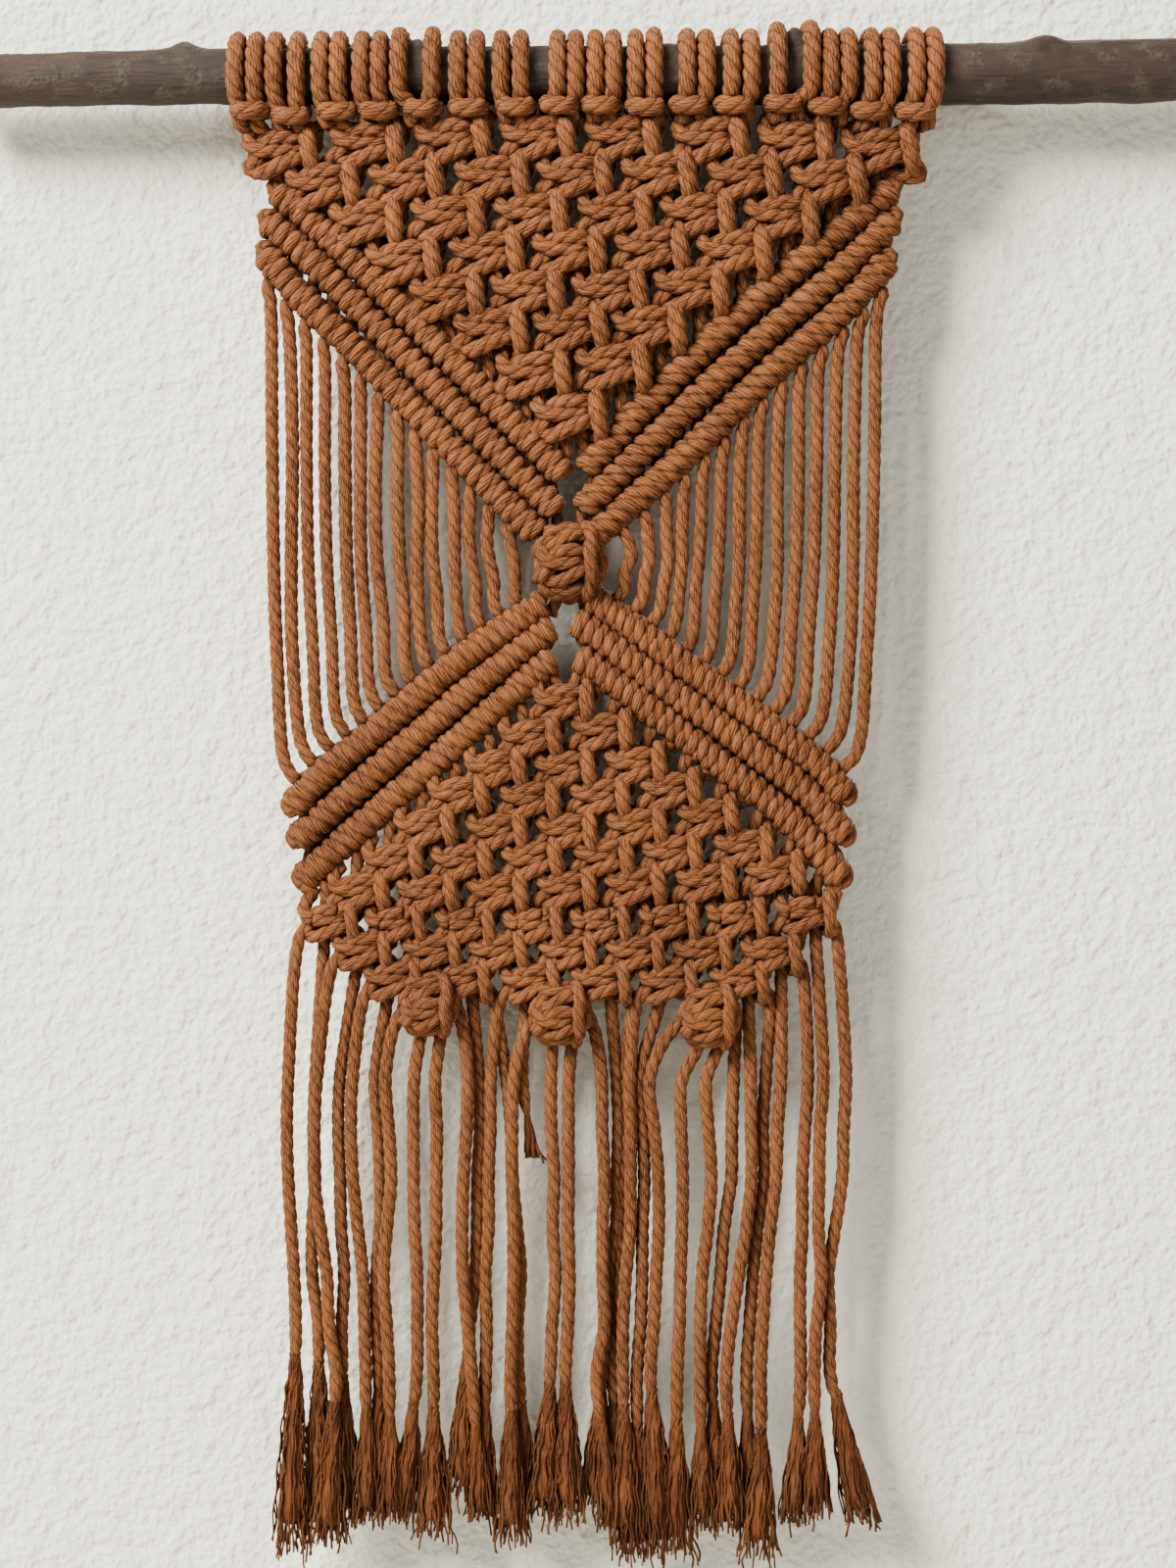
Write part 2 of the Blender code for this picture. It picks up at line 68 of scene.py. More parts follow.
# A course's points closer than this count as one, and each gap gets eight parts.
SAME_SPOT = 0.05
GAP_PARTS = 8
# Yarns this share of a turn apart spread evenly round a tuft.
GOLDEN = 0.618
# Knots' cords swell from this far in front of the branch's axis, and swell most
# when they are this much further out.
PROUD_FROM = 6.8
PROUD_OVER = 2.4

LOG = logging.getLogger("macrame")

Point = tuple[float, float, float]
Screen = tuple[float, float, float]
Linear = tuple[float, float, float, float]


class Hand(Enum):
    """Which side of the hanging a bar or a float is on."""

    LEFT = -1
    RIGHT = 1


class Part(Enum):
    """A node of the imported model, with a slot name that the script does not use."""

    BRANCH = ("branch", "bark")
    MACRAME = ("macrame", "cotton_cord")
    FRINGE = ("fringe", "cotton_fringe")


class Meets(Enum):
    """Which pieces a linked light meets."""

    ONLY = "INCLUDE"
    ALL_BUT = "EXCLUDE"


class HeadPlace(NamedTuple):
    """Where one lark's head sits on the branch."""

    bar_x: float
    bar_z: float
    loops_x: float
    half_gap: float


class KnotRow(NamedTuple):
    """One row of square knots, from its left knot to its right knot."""

    knots: int
    first_strand: int
    left_x: float
    right_x: float
    left_z: float
    middle_z: float
    right_z: float


class BarPlace(NamedTuple):
    """One double half hitch bar: five places on its axis, outer end first."""

    x_1: float
    z_1: float
    x_2: float
    z_2: float
    x_3: float
    z_3: float
    x_4: float
    z_4: float
    x_5: float
    z_5: float


class FreeEnd(NamedTuple):
    """One fringe strand: its place at four heights, its depth and its tuft."""

    x_1: float
    x_2: float
    x_3: float
    x_4: float
    y: float
    unlay_z: float
    end_x: float
    end_z: float


HEADS = (
    HeadPlace(-114.0, -14.9, -115.5, 3.2),
    HeadPlace(-100.3, -16.6, -102.0, 3.8),
    HeadPlace(-84.7, -15.0, -87.2, 3.0),
    HeadPlace(-70.7, -14.9, -73.5, 3.0),
    HeadPlace(-55.7, -14.0, -58.2, 5.6),
    HeadPlace(-40.3, -13.8, -40.8, 3.2),
    HeadPlace(-24.3, -13.4, -26.0, 3.3),
    HeadPlace(-9.7, -13.0, -7.2, 3.0),
    HeadPlace(4.3, -12.9, 5.5, 3.0),
    HeadPlace(19.3, -13.5, 19.2, 3.1),
    HeadPlace(34.0, -12.9, 36.7, 3.2),
    HeadPlace(49.0, -12.9, 51.7, 3.3),
    HeadPlace(66.0, -12.4, 69.7, 5.6),
    HeadPlace(80.7, -13.3, 84.8, 3.1),
    HeadPlace(95.0, -14.9, 99.0, 3.2),
    HeadPlace(110.0, -15.2, 113.7, 3.1),
)

UPPER_ROWS = (
    KnotRow(8, 0, -103.0, 100.0, -27.6, -22.4, -26.4),
    KnotRow(7, 2, -88.7, 82.0, -39.0, -35.4, -37.0),
    KnotRow(6, 4, -74.3, 66.0, -51.2, -48.8, -49.7),
    KnotRow(5, 6, -61.0, 50.0, -64.4, -60.8, -61.4),
    KnotRow(4, 8, -46.7, 35.7, -76.3, -74.8, -73.8),
    KnotRow(3, 10, -31.7, 21.3, -88.0, -87.2, -87.0),
    KnotRow(2, 12, -17.3, 9.0, -102.0, -101.0, -99.8),
    KnotRow(1, 14, -5.0, -5.0, -116.2, -116.2, -116.2),
)

LOWER_ROWS = (
    KnotRow(1, 14, -7.4, -7.4, -213.3, -213.3, -213.3),
    KnotRow(2, 12, -18.2, 5.6, -225.3, -224.4, -223.3),
    KnotRow(3, 10, -30.4, 16.9, -235.7, -235.7, -234.7),
    KnotRow(4, 8, -42.4, 28.6, -244.7, -246.0, -243.0),
    KnotRow(5, 6, -53.6, 41.4, -255.6, -256.7, -252.2),
    KnotRow(6, 4, -65.0, 53.2, -267.0, -266.6, -262.2),
    KnotRow(7, 2, -76.6, 64.0, -277.2, -276.6, -271.6),
    KnotRow(8, 0, -86.7, 74.6, -287.4, -288.8, -284.6),
    KnotRow(7, 2, -75.4, 63.0, -297.4, -297.6, -298.4),
    KnotRow(6, 4, -65.0, 51.7, -306.8, -308.2, -307.4),
)
FRINGE_FROM_ROW = 7

UPPER_LEFT_BARS = (
    BarPlace(-105.5, -39.9, -89.0, -54.5, -56.9, -86.0, -29.1, -114.8, -8.2, -136.3),
    BarPlace(-108.6, -50.3, -95.8, -61.4, -64.2, -93.4, -36.5, -122.2, -10.6, -148.7),
    BarPlace(-109.6, -61.0, -100.1, -72.7, -71.6, -100.8, -43.7, -129.5, -17.0, -156.5),
)
UPPER_RIGHT_BARS = (
    BarPlace(103.0, -39.1, 80.5, -57.5, 53.4, -79.8, 21.0, -111.1, -0.9, -134.4),
    BarPlace(103.3, -49.5, 84.0, -68.4, 57.4, -91.2, 28.2, -118.5, -1.9, -147.9),
    BarPlace(101.6, -63.6, 87.4, -79.1, 61.0, -102.1, 35.7, -127.0, 1.5, -157.2),
)
LOWER_LEFT_BARS = (
    BarPlace(-99.5, -248.6, -92.5, -240.2, -69.1, -220.8, -43.2, -199.0, -15.0, -179.7),
    BarPlace(-97.9, -259.6, -86.6, -249.4, -62.5, -228.6, -36.9, -206.5, -12.4, -187.5),
    BarPlace(-96.0, -273.2, -83.6, -261.5, -59.3, -239.9, -34.1, -217.6, -12.3, -198.5),
)
LOWER_RIGHT_BARS = (
    BarPlace(86.6, -244.9, 80.4, -236.6, 58.9, -219.8, 31.9, -200.2, 1.0, -178.0),
    BarPlace(86.2, -258.7, 77.4, -246.6, 53.1, -227.5, 26.0, -207.7, -3.8, -185.7),
    BarPlace(85.2, -272.9, 71.8, -256.3, 47.1, -236.0, 20.2, -215.1, -3.3, -198.1),
)
UPPER_BARS = {Hand.LEFT: UPPER_LEFT_BARS, Hand.RIGHT: UPPER_RIGHT_BARS}
LOWER_BARS = {Hand.LEFT: LOWER_LEFT_BARS, Hand.RIGHT: LOWER_RIGHT_BARS}
HITCHES = 15

FLOAT_X = {
    Hand.LEFT: (
        -106.7, -100.7, -95.0, -88.7, -82.0, -77.0, -71.7,
        -64.0, -58.0, -52.7, -45.3, -39.7, -33.7, -25.3,
    ),
    Hand.RIGHT: (
        96.3, 90.0, 83.3, 76.7, 70.7, 64.3, 57.0,
        51.3, 44.3, 37.7, 32.0, 27.3, 21.0, 14.7,
    ),
}
FLOAT_MIDDLE_Z = -164.0

# The fourteenth strand is a short stub, so only its first place counts.
FREE_LEVELS = (-341.3, -374.7, -408.0, -441.3)
FREE_ENDS = (
    FreeEnd(-101.7, -102.0, -99.8, -99.0, 0.0, -438.0, -100.7, -502.0),
    FreeEnd(-93.0, -93.2, -93.7, -89.3, 3.5, -441.0, -91.0, -497.0),
    FreeEnd(-92.0, -92.6, -88.7, -85.7, -1.5, -454.0, -88.3, -499.0),
    FreeEnd(-84.7, -84.7, -83.3, -84.7, 3.5, -446.0, -83.0, -494.0),
    FreeEnd(-80.1, -79.8, -76.3, -75.5, 0.0, -456.0, -74.7, -492.0),
    FreeEnd(-72.3, -70.7, -71.7, -71.3, 3.0, -450.0, -71.3, -488.0),
    FreeEnd(-68.5, -67.0, -69.0, -67.3, -1.5, -457.0, -66.7, -490.0),
    FreeEnd(-59.1, -59.1, -58.0, -58.0, 0.0, -455.0, -63.0, -491.0),
    FreeEnd(-52.0, -51.7, -52.5, -52.3, 0.0, -456.0, -52.7, -497.0),
    FreeEnd(-40.7, -42.3, -42.0, -39.0, -2.5, -460.0, -36.0, -489.0),
    FreeEnd(-37.0, -37.7, -38.3, -42.0, 2.5, -438.0, -43.3, -485.0),
    FreeEnd(-27.7, -26.0, -23.0, -24.0, 4.0, -455.0, -20.0, -488.0),
    FreeEnd(-33.0, -33.7, -34.8, -35.0, 1.0, -455.0, -36.0, -491.0),
    FreeEnd(-22.5, 0.0, 0.0, 0.0, 2.5, -354.0, -19.0, -368.0),
    FreeEnd(-25.0, -25.7, -25.1, -26.2, -1.0, -457.0, -26.0, -498.0),
    FreeEnd(-12.7, -11.7, -11.3, -12.7, 0.5, -448.0, -15.0, -490.0),
    FreeEnd(-6.5, -6.7, -6.5, -7.7, 0.0, -448.0, -6.7, -491.0),
    FreeEnd(4.7, 5.7, 4.7, 2.7, -1.0, -458.0, 7.3, -490.0),
    FreeEnd(10.0, 10.0, 7.7, 5.0, 3.5, -450.0, 2.0, -488.0),
    FreeEnd(12.5, 12.0, 10.5, 8.5, 4.0, -455.0, 9.5, -495.0),
    FreeEnd(14.3, 14.3, 13.0, 11.6, -1.0, -455.0, 13.3, -500.0),
    FreeEnd(17.4, 19.3, 18.2, 16.7, 1.5, -462.0, 17.0, -505.0),
    FreeEnd(21.2, 23.7, 23.2, 21.0, -0.5, -450.0, 24.0, -498.0),
    FreeEnd(32.0, 32.0, 31.2, 30.3, 0.0, -460.0, 29.7, -503.0),
    FreeEnd(40.3, 41.7, 38.9, 37.9, 0.0, -461.0, 38.7, -494.0),
    FreeEnd(49.7, 48.7, 45.0, 42.3, 3.5, -455.0, 44.0, -491.0),
    FreeEnd(55.3, 55.6, 51.3, 47.0, -1.0, -458.0, 48.7, -494.0),
    FreeEnd(60.2, 59.9, 56.3, 53.7, 3.0, -458.0, 55.0, -494.0),
    FreeEnd(65.2, 64.0, 60.0, 58.5, -1.5, -463.0, 57.3, -503.0),
    FreeEnd(74.7, 72.7, 71.8, 72.1, 0.0, -458.0, 69.7, -492.0),
    FreeEnd(79.9, 78.3, 79.0, 76.7, -1.5, -456.0, 77.3, -489.0),
    FreeEnd(87.5, 86.7, 81.7, 82.5, 2.0, -452.0, 94.0, -494.0),
)


# --------------------------------------------------------------------------
# Shader helpers
# --------------------------------------------------------------------------


class Socket:
    """A shader value that builds Math nodes when it is calculated with."""

    def __init__(self, graph: Graph, output: bpy.types.NodeSocket) -> None:
        """Keeps the graph and the output socket."""
        self.graph = graph
        self.output = output

    def _math(self, operation: str, *values: Any) -> Socket:
        """Adds one Math node.

        Args:
            operation: The node's operation.
            values: Its inputs in order, numbers or sockets.

        Returns:
            The node's result.
        """
        return self.graph.add(
            "ShaderNodeMath",
            {"operation": operation},
            {index: value for index, value in enumerate(values)},
        )

    def __add__(self, other: Any) -> Socket:
        """Returns the sum."""
        return self._math("ADD", self, other)

    def __radd__(self, other: Any) -> Socket:
        """Returns the sum with a number in front."""
        return self._math("ADD", other, self)

    def __sub__(self, other: Any) -> Socket:
        """Returns the difference."""
        return self._math("SUBTRACT", self, other)

    def __rsub__(self, other: Any) -> Socket:
        """Returns a number less this value."""
        return self._math("SUBTRACT", other, self)

    def __mul__(self, other: Any) -> Socket:
        """Returns the product."""
        return self._math("MULTIPLY", self, other)

    def __rmul__(self, other: Any) -> Socket:
        """Returns the product with a number in front."""
        return self._math("MULTIPLY", other, self)

    def wave(self) -> Socket:
        """Returns the cosine of this value taken in turns, from 0 to 1."""
        return self._math("COSINE", self * TAU) * 0.5 + 0.5

    def clamped(self, low: float, high: float) -> Socket:
        """Maps a range to 0..1 and clamps it.

        Args:
            low: The value that becomes 0.
            high: The value that becomes 1.

        Returns:
            The mapped value.
        """
        return self.graph.add(
            "ShaderNodeMapRange",
            {"clamp": True},
            {"Value": self, "From Min": low, "From Max": high},
        )


class Graph:
    """A material's node tree with one method that adds any node."""

    def __init__(self, name: str) -> None:
        """Makes the material and keeps its Principled shader."""
        self.material = bpy.data.materials.new(name)
        self.material.use_nodes = True
        self.tree = self.material.node_tree
        self.shader = self.tree.nodes["Principled BSDF"]

    def add(
        self,
        kind: str,
        settings: dict[str, Any] | None = None,
        inputs: dict[Any, Any] | None = None,
        output: int | str = 0,
    ) -> Socket:
        """Adds a node, sets it and feeds its sockets.

        Args:
            kind: The node's type name.
            settings: The node's own properties, which are set first.
            inputs: Values or sockets by input name or index.
            output: The output that is returned.

        Returns:
            The chosen output.
        """
        node = self.tree.nodes.new(kind)
        for key, value in (settings or {}).items():
            setattr(node, key, value)
        for key, value in (inputs or {}).items():
            self.feed(node.inputs[key], value)
        return Socket(self, node.outputs[output])

    def feed(self, target: bpy.types.NodeSocket, value: Any) -> None:
        """Links a socket to an input, or sets its value.

        Args:
            target: The input.
            value: A Socket or a constant.
        """
        if isinstance(value, Socket):
            self.tree.links.new(value.output, target)
        else:
            target.default_value = value

    def give(self, name: str, value: Any) -> None:
        """Feeds one of the shader's own inputs."""
        self.feed(self.shader.inputs[name], value)

    def spot(self) -> Socket:
        """Returns the place on the piece, in metres."""
        return self.add("ShaderNodeTexCoord", None, None, "Object")

    def stretched(self, place: Socket, scale: Point) -> Socket:
        """Returns a place drawn out along an axis, where the scale is under 1."""
        return self.add("ShaderNodeMapping", None, {"Vector": place, "Scale": scale})

    def blend(self, factor: Any, first: Any, second: Any) -> Socket:
        """Mixes two colours.

        Args:
            factor: How much of the second.
            first: The first colour or socket.
            second: The second colour or socket.

        Returns:
            The mixed colour.
        """
        return self.add(
            "ShaderNodeMix",
            {"data_type": "RGBA"},
            {0: factor, 6: first, 7: second},
            output=2,
        )

    def speckle(self, place: Socket, scale: float, detail: float) -> Socket:
        """Adds a noise texture.

        Args:
            place: The coordinate.
            scale: Cells to a metre.
            detail: Octaves.

        Returns:
            The noise value.
        """
        return self.add(
            "ShaderNodeTexNoise",
            None,
            {"Vector": place, "Scale": scale, "Detail": detail, "Roughness": 0.6},
        )

    def paint_crevice_shade(self, body: Socket, deepest: Linear) -> None:
        """Feeds the base colour, with painted shade where the cords crowd together.

        Args:
            body: The colour in the open.
            deepest: The colour of the painted shade deep in a crevice.
        """
        # Painted shade: the colour darkens towards the shade colour as the crevice
        # attribute rises.
        depth = self.add(
            "ShaderNodeAttribute", {"attribute_name": CREVICE_SHADE}, None, "Fac"
        )
        dark = self.blend(depth.clamped(0.3, 0.95) * 0.66, body, deepest)
        self.give("Base Color", dark)

    def fuzz(self) -> None:
        """Gives cotton a dull surface with a faint warm fuzz."""
        self.give("Sheen Weight", 0.05)
        self.give("Sheen Roughness", 0.6)
        self.give("Sheen Tint", colour(200, 140, 90))
        self.give("Specular IOR Level", 0.1)

    def relief(self, height: Socket, strength: float, depth: float) -> None:
        """Feeds a Bump node to the shader's normal.

        Args:
            height: The height, from 0 to 1.
            strength: The bump's strength.
            depth: The real height of 1, in metres.
        """
        bump = self.add(
            "ShaderNodeBump",
            None,
            {"Height": height, "Strength": strength, "Distance": depth},
        )
        self.give("Normal", bump)


def colour(red: float, green: float, blue: float) -> Linear:
    """Returns a linear colour from screen values of 0 to 255.

    Args:
        red: The red value.
        green: The green value.
        blue: The blue value.

    Returns:
        The linear colour with its alpha.
    """
    linear = [
        part / 12.92 if part <= 0.04045 else ((part + 0.055) / 1.055) ** 2.4
        for part in (red / 255.0, green / 255.0, blue / 255.0)
    ]
    return (linear[0], linear[1], linear[2], 1.0)


@dataclass(frozen=True)
class CottonFinish:
    """Matte cotton with dye that varies, plies, fine yarns, a little fuzz and painted
    groove and crevice shade.
    """

    name: str
    light: Screen
    deep: Screen
    shadow: Screen
    fibre_cells: float = 1100.0
    drift_cells: float = 220.0
    dye_cells: float = 28.0
    yarns: float = 17.0
    yarn_slant: float = 0.85
    lay: float = 14.5
    plies: float = 3.0
    yarn_depth: float = 0.00045

    def _yarns(self, along: Socket, around: Socket, drift: Socket) -> Socket:
        """Draws the fine yarns that run slantwise over each ply.

        Args:
            along: The place along the cord, in millimetres.
            around: The place round the cord, in turns.
            drift: A slow noise that bends the yarns.

        Returns:
            The yarns' height, from 0 to 1.
        """
        graph = along.graph
        turned = around + along * (self.yarn_slant / self.lay)
        drawn = graph.add(
            "ShaderNodeCombineXYZ", None, {0: turned * self.yarns, 1: along * 0.16}
        )
        streak = graph.speckle(drawn, 1.7, 3.0).clamped(0.34, 0.64)
        wave = (turned * self.yarns + drift * 2.2).wave()
        return wave * 0.35 + streak * 0.65

    def material(self) -> bpy.types.Material:
        """Builds the cotton.

        Returns:
            The material.
        """
        graph = Graph(self.name)
        spot = graph.spot()
        cord = graph.add("ShaderNodeUVMap", {"uv_map": "UVMap"})
        along = graph.add("ShaderNodeSeparateXYZ", None, {0: cord}, "X")
        around = graph.add("ShaderNodeSeparateXYZ", None, {0: cord}, "Y")
        fine = graph.speckle(spot, self.fibre_cells, 2.0)
        drift = graph.speckle(spot, self.drift_cells, 2.0)
        broad = graph.speckle(spot, self.dye_cells, 2.0)
        yarn = self._yarns(along, around, drift)
        crown = 1.0 - (around * self.plies).wave()
        groove_shade_and_bump = crown.clamped(0.0, 0.14)
        tone = broad.clamped(0.3, 0.7) * 0.2 + drift.clamped(0.25, 0.75) * 0.1
        # The yarns' height lightens their crests and darkens the lines between them:
        # partly the yarns' own streaky colour, partly painted shade between yarns.
        tone = tone + yarn * 0.8 + fine.clamped(0.3, 0.7) * 0.15
        body = graph.blend(
            tone.clamped(0.25, 0.98), colour(*self.deep), colour(*self.light)
        )
        # Painted shade: the grooves between the plies are darkened towards the shadow
        # colour.
        groove_shaded = graph.blend((1.0 - groove_shade_and_bump) * 0.5, body, colour(*self.shadow))
        # Painted shade: darker again where the cords crowd together.
        graph.paint_crevice_shade(groove_shaded, colour(*self.shadow))
        graph.give("Roughness", 0.97 - yarn * 0.12)
        graph.fuzz()
        graph.relief(yarn * 0.7 + groove_shade_and_bump * 0.5 + fine * 0.25, 1.0, self.yarn_depth)
        return graph.material


@dataclass(frozen=True)
class YarnFinish:
    """The same cotton, opened into loose yarns, with painted shade where they crowd
    together.
    """

    name: str
    light: Screen
    deep: Screen
    shadow: Screen
    streaks: Point = (1.0, 1.0, 0.07)
    fibre_cells: float = 1500.0
    dye_cells: float = 60.0
    fibre_depth: float = 0.0006

    def material(self) -> bpy.types.Material:
        """Builds the loose yarn's cotton.

        Returns:
            The material.
        """
        graph = Graph(self.name)
        spot = graph.spot()
        drawn = graph.stretched(spot, self.streaks)
        fine = graph.speckle(drawn, self.fibre_cells, 2.0)
        broad = graph.speckle(spot, self.dye_cells, 2.0)
        tone = fine.clamped(0.3, 0.7) * 0.6 + broad.clamped(0.3, 0.7) * 0.4
        body = graph.blend(tone, colour(*self.deep), colour(*self.light))
        # Painted shade: darker where the yarns crowd together.
        graph.paint_crevice_shade(body, colour(*self.shadow))
        graph.give("Roughness", 0.98 - fine * 0.1)
        graph.fuzz()
        graph.relief(fine.clamped(0.3, 0.7), 1.0, self.fibre_depth)
        return graph.material


@dataclass(frozen=True)
class BarkFinish:
    """Thin reddish bark with long grain and grey-green lichen."""

    name: str
    bark: Screen
    dark: Screen
    worn: Screen
    lichen: Screen
    grain: Point = (0.12, 1.0, 1.0)
    bark_depth: float = 0.0009

    def material(self) -> bpy.types.Material:
        """Builds the bark.

        Returns:
            The material.
        """
        graph = Graph(self.name)
        spot = graph.spot()
        drawn = graph.stretched(spot, self.grain)
        grain = graph.speckle(drawn, 900.0, 5.0)
        broad = graph.speckle(drawn, 90.0, 4.0)
        patch = graph.speckle(spot, 130.0, 4.0)
        dots = graph.speckle(spot, 700.0, 2.0)
        wood = graph.blend(
            grain.clamped(0.3, 0.7), colour(*self.dark), colour(*self.bark)
        )
        wood = graph.blend(broad.clamped(0.42, 0.68) * 0.5, wood, colour(*self.worn))
        crust = patch.clamped(0.5, 0.66) * dots.clamped(0.35, 0.6)
        coat = graph.blend(crust * 0.8, wood, colour(*self.lichen))
        graph.give("Base Color", coat)
        graph.give("Roughness", 0.7 + crust * 0.25)
        graph.give("Specular IOR Level", 0.3)
        graph.relief(grain * 0.7 + broad * 0.5 + crust * 0.4, 0.8, self.bark_depth)
        return graph.material


@dataclass(frozen=True)
class SawnFinish:
    """The sawn end of the branch, with growth rings."""

    name: str
    pale: Screen = (196, 164, 122)
    dark: Screen = (150, 112, 74)

    def material(self) -> bpy.types.Material:
        """Builds the end grain.

        Returns:
            The material.
        """
        graph = Graph(self.name)
        spot = graph.spot()
        rings = graph.add(
            "ShaderNodeTexWave",
            {"wave_type": "RINGS", "rings_direction": "X"},
            {
                "Vector": graph.stretched(spot, (0.0, 1.0, 1.0)),
                "Scale": 150.0,
                "Distortion": 2.0,
                "Detail": 2.0,
            },
            "Fac",
        )
        saw = graph.speckle(spot, 1200.0, 3.0)
        wood = graph.blend(
            rings * 0.7 + saw * 0.3, colour(*self.pale), colour(*self.dark)
        )
        graph.give("Base Color", wood)
        graph.give("Roughness", 0.75 + saw * 0.15)
        graph.relief(saw + rings * 0.4, 0.5, 0.0004)
        return graph.material


@dataclass(frozen=True)
class PlasterFinish:
    """Pale rough plaster for the wall, or plain for the floor."""

    name: str
    tone: Screen
    relief: float
    warm: Screen = (222, 218, 200)

    def material(self) -> bpy.types.Material:
        """Builds the plaster, clear when it is seen from behind.

        Returns:
            The material.
        """
        graph = Graph(self.name)
        spot = graph.spot()
        broad = graph.speckle(spot, 120.0, 1.0)
        fine = graph.speckle(spot, 330.0, 1.0)
        body = graph.blend(
            broad.clamped(0.3, 0.7) * 0.4, colour(*self.tone), colour(*self.warm)
        )
        graph.give("Base Color", body)
        graph.give("Roughness", 0.95)
        lumps = broad.clamped(0.35, 0.85) * 0.5 + fine.clamped(0.3, 0.9) * 0.5
        graph.relief(lumps, 1.0, self.relief)
        back = graph.add("ShaderNodeNewGeometry", None, None, "Backfacing")
        clear = graph.add("ShaderNodeBsdfTransparent")
        both = graph.add(
            "ShaderNodeMixShader",
            None,
            {0: back, 1: Socket(graph, graph.shader.outputs[0]), 2: clear},
        )
        graph.feed(graph.tree.nodes["Material Output"].inputs["Surface"], both)
        return graph.material


# --------------------------------------------------------------------------
# Courses: the lines that cords follow
# --------------------------------------------------------------------------


def distances(course: np.ndarray) -> np.ndarray:
    """Returns how far along a course each of its points is."""
    gaps = np.linalg.norm(np.diff(course, axis=0), axis=1)
    return np.concatenate(([0.0], np.cumsum(gaps)))


def even_course(points: list[Point], step: float) -> np.ndarray:
    """Draws a smooth line through points and spaces it evenly.

    The line is a Catmull-Rom curve whose times follow the root of each gap,
    so that it neither loops nor overshoots where points lie close together.

    Args:
        points: What the line passes through.
        step: The spacing of the result.

    Returns:
        The evenly spaced points, one to a row.
    """
    marks = np.array(points, float)
    apart = np.linalg.norm(np.diff(marks, axis=0), axis=1)
    marks = marks[np.concatenate(([True], apart > SAME_SPOT))]
    first = 2.0 * marks[0] - marks[1]
    last = 2.0 * marks[-1] - marks[-2]
    marks = np.vstack((first, marks, last))
    knots = np.sqrt(np.linalg.norm(np.diff(marks, axis=0), axis=1))
    knots = np.concatenate(([0.0], np.cumsum(knots)))
    share = np.linspace(0.0, 1.0, GAP_PARTS, endpoint=False)
    count = len(marks) - 3
    index = np.repeat(np.arange(count), len(share))
    time = knots[index + 1] + np.tile(share, count) * (
        knots[index + 2] - knots[index + 1]
    )
    p0, p1, p2, p3 = (marks[index + k] for k in range(4))
    t0, t1, t2, t3 = (knots[index + k] for k in range(4))

    def between(
        a: np.ndarray, b: np.ndarray, ta: np.ndarray, tb: np.ndarray
    ) -> np.ndarray:
        """Returns the line from a to b at each time."""
        part = ((time - ta) / (tb - ta))[:, None]
        return a * (1.0 - part) + b * part

    a1, a2 = between(p0, p1, t0, t1), between(p1, p2, t1, t2)
    a3 = between(p2, p3, t2, t3)
    b1, b2 = between(a1, a2, t0, t2), between(a2, a3, t1, t3)
    curve = np.vstack((between(b1, b2, t1, t2), marks[-2]))
    far = distances(curve)
    stops = np.linspace(0.0, far[-1], max(3, int(round(far[-1] / step)) + 1))
    return np.column_stack([np.interp(stops, far, curve[:, k]) for k in range(3)])


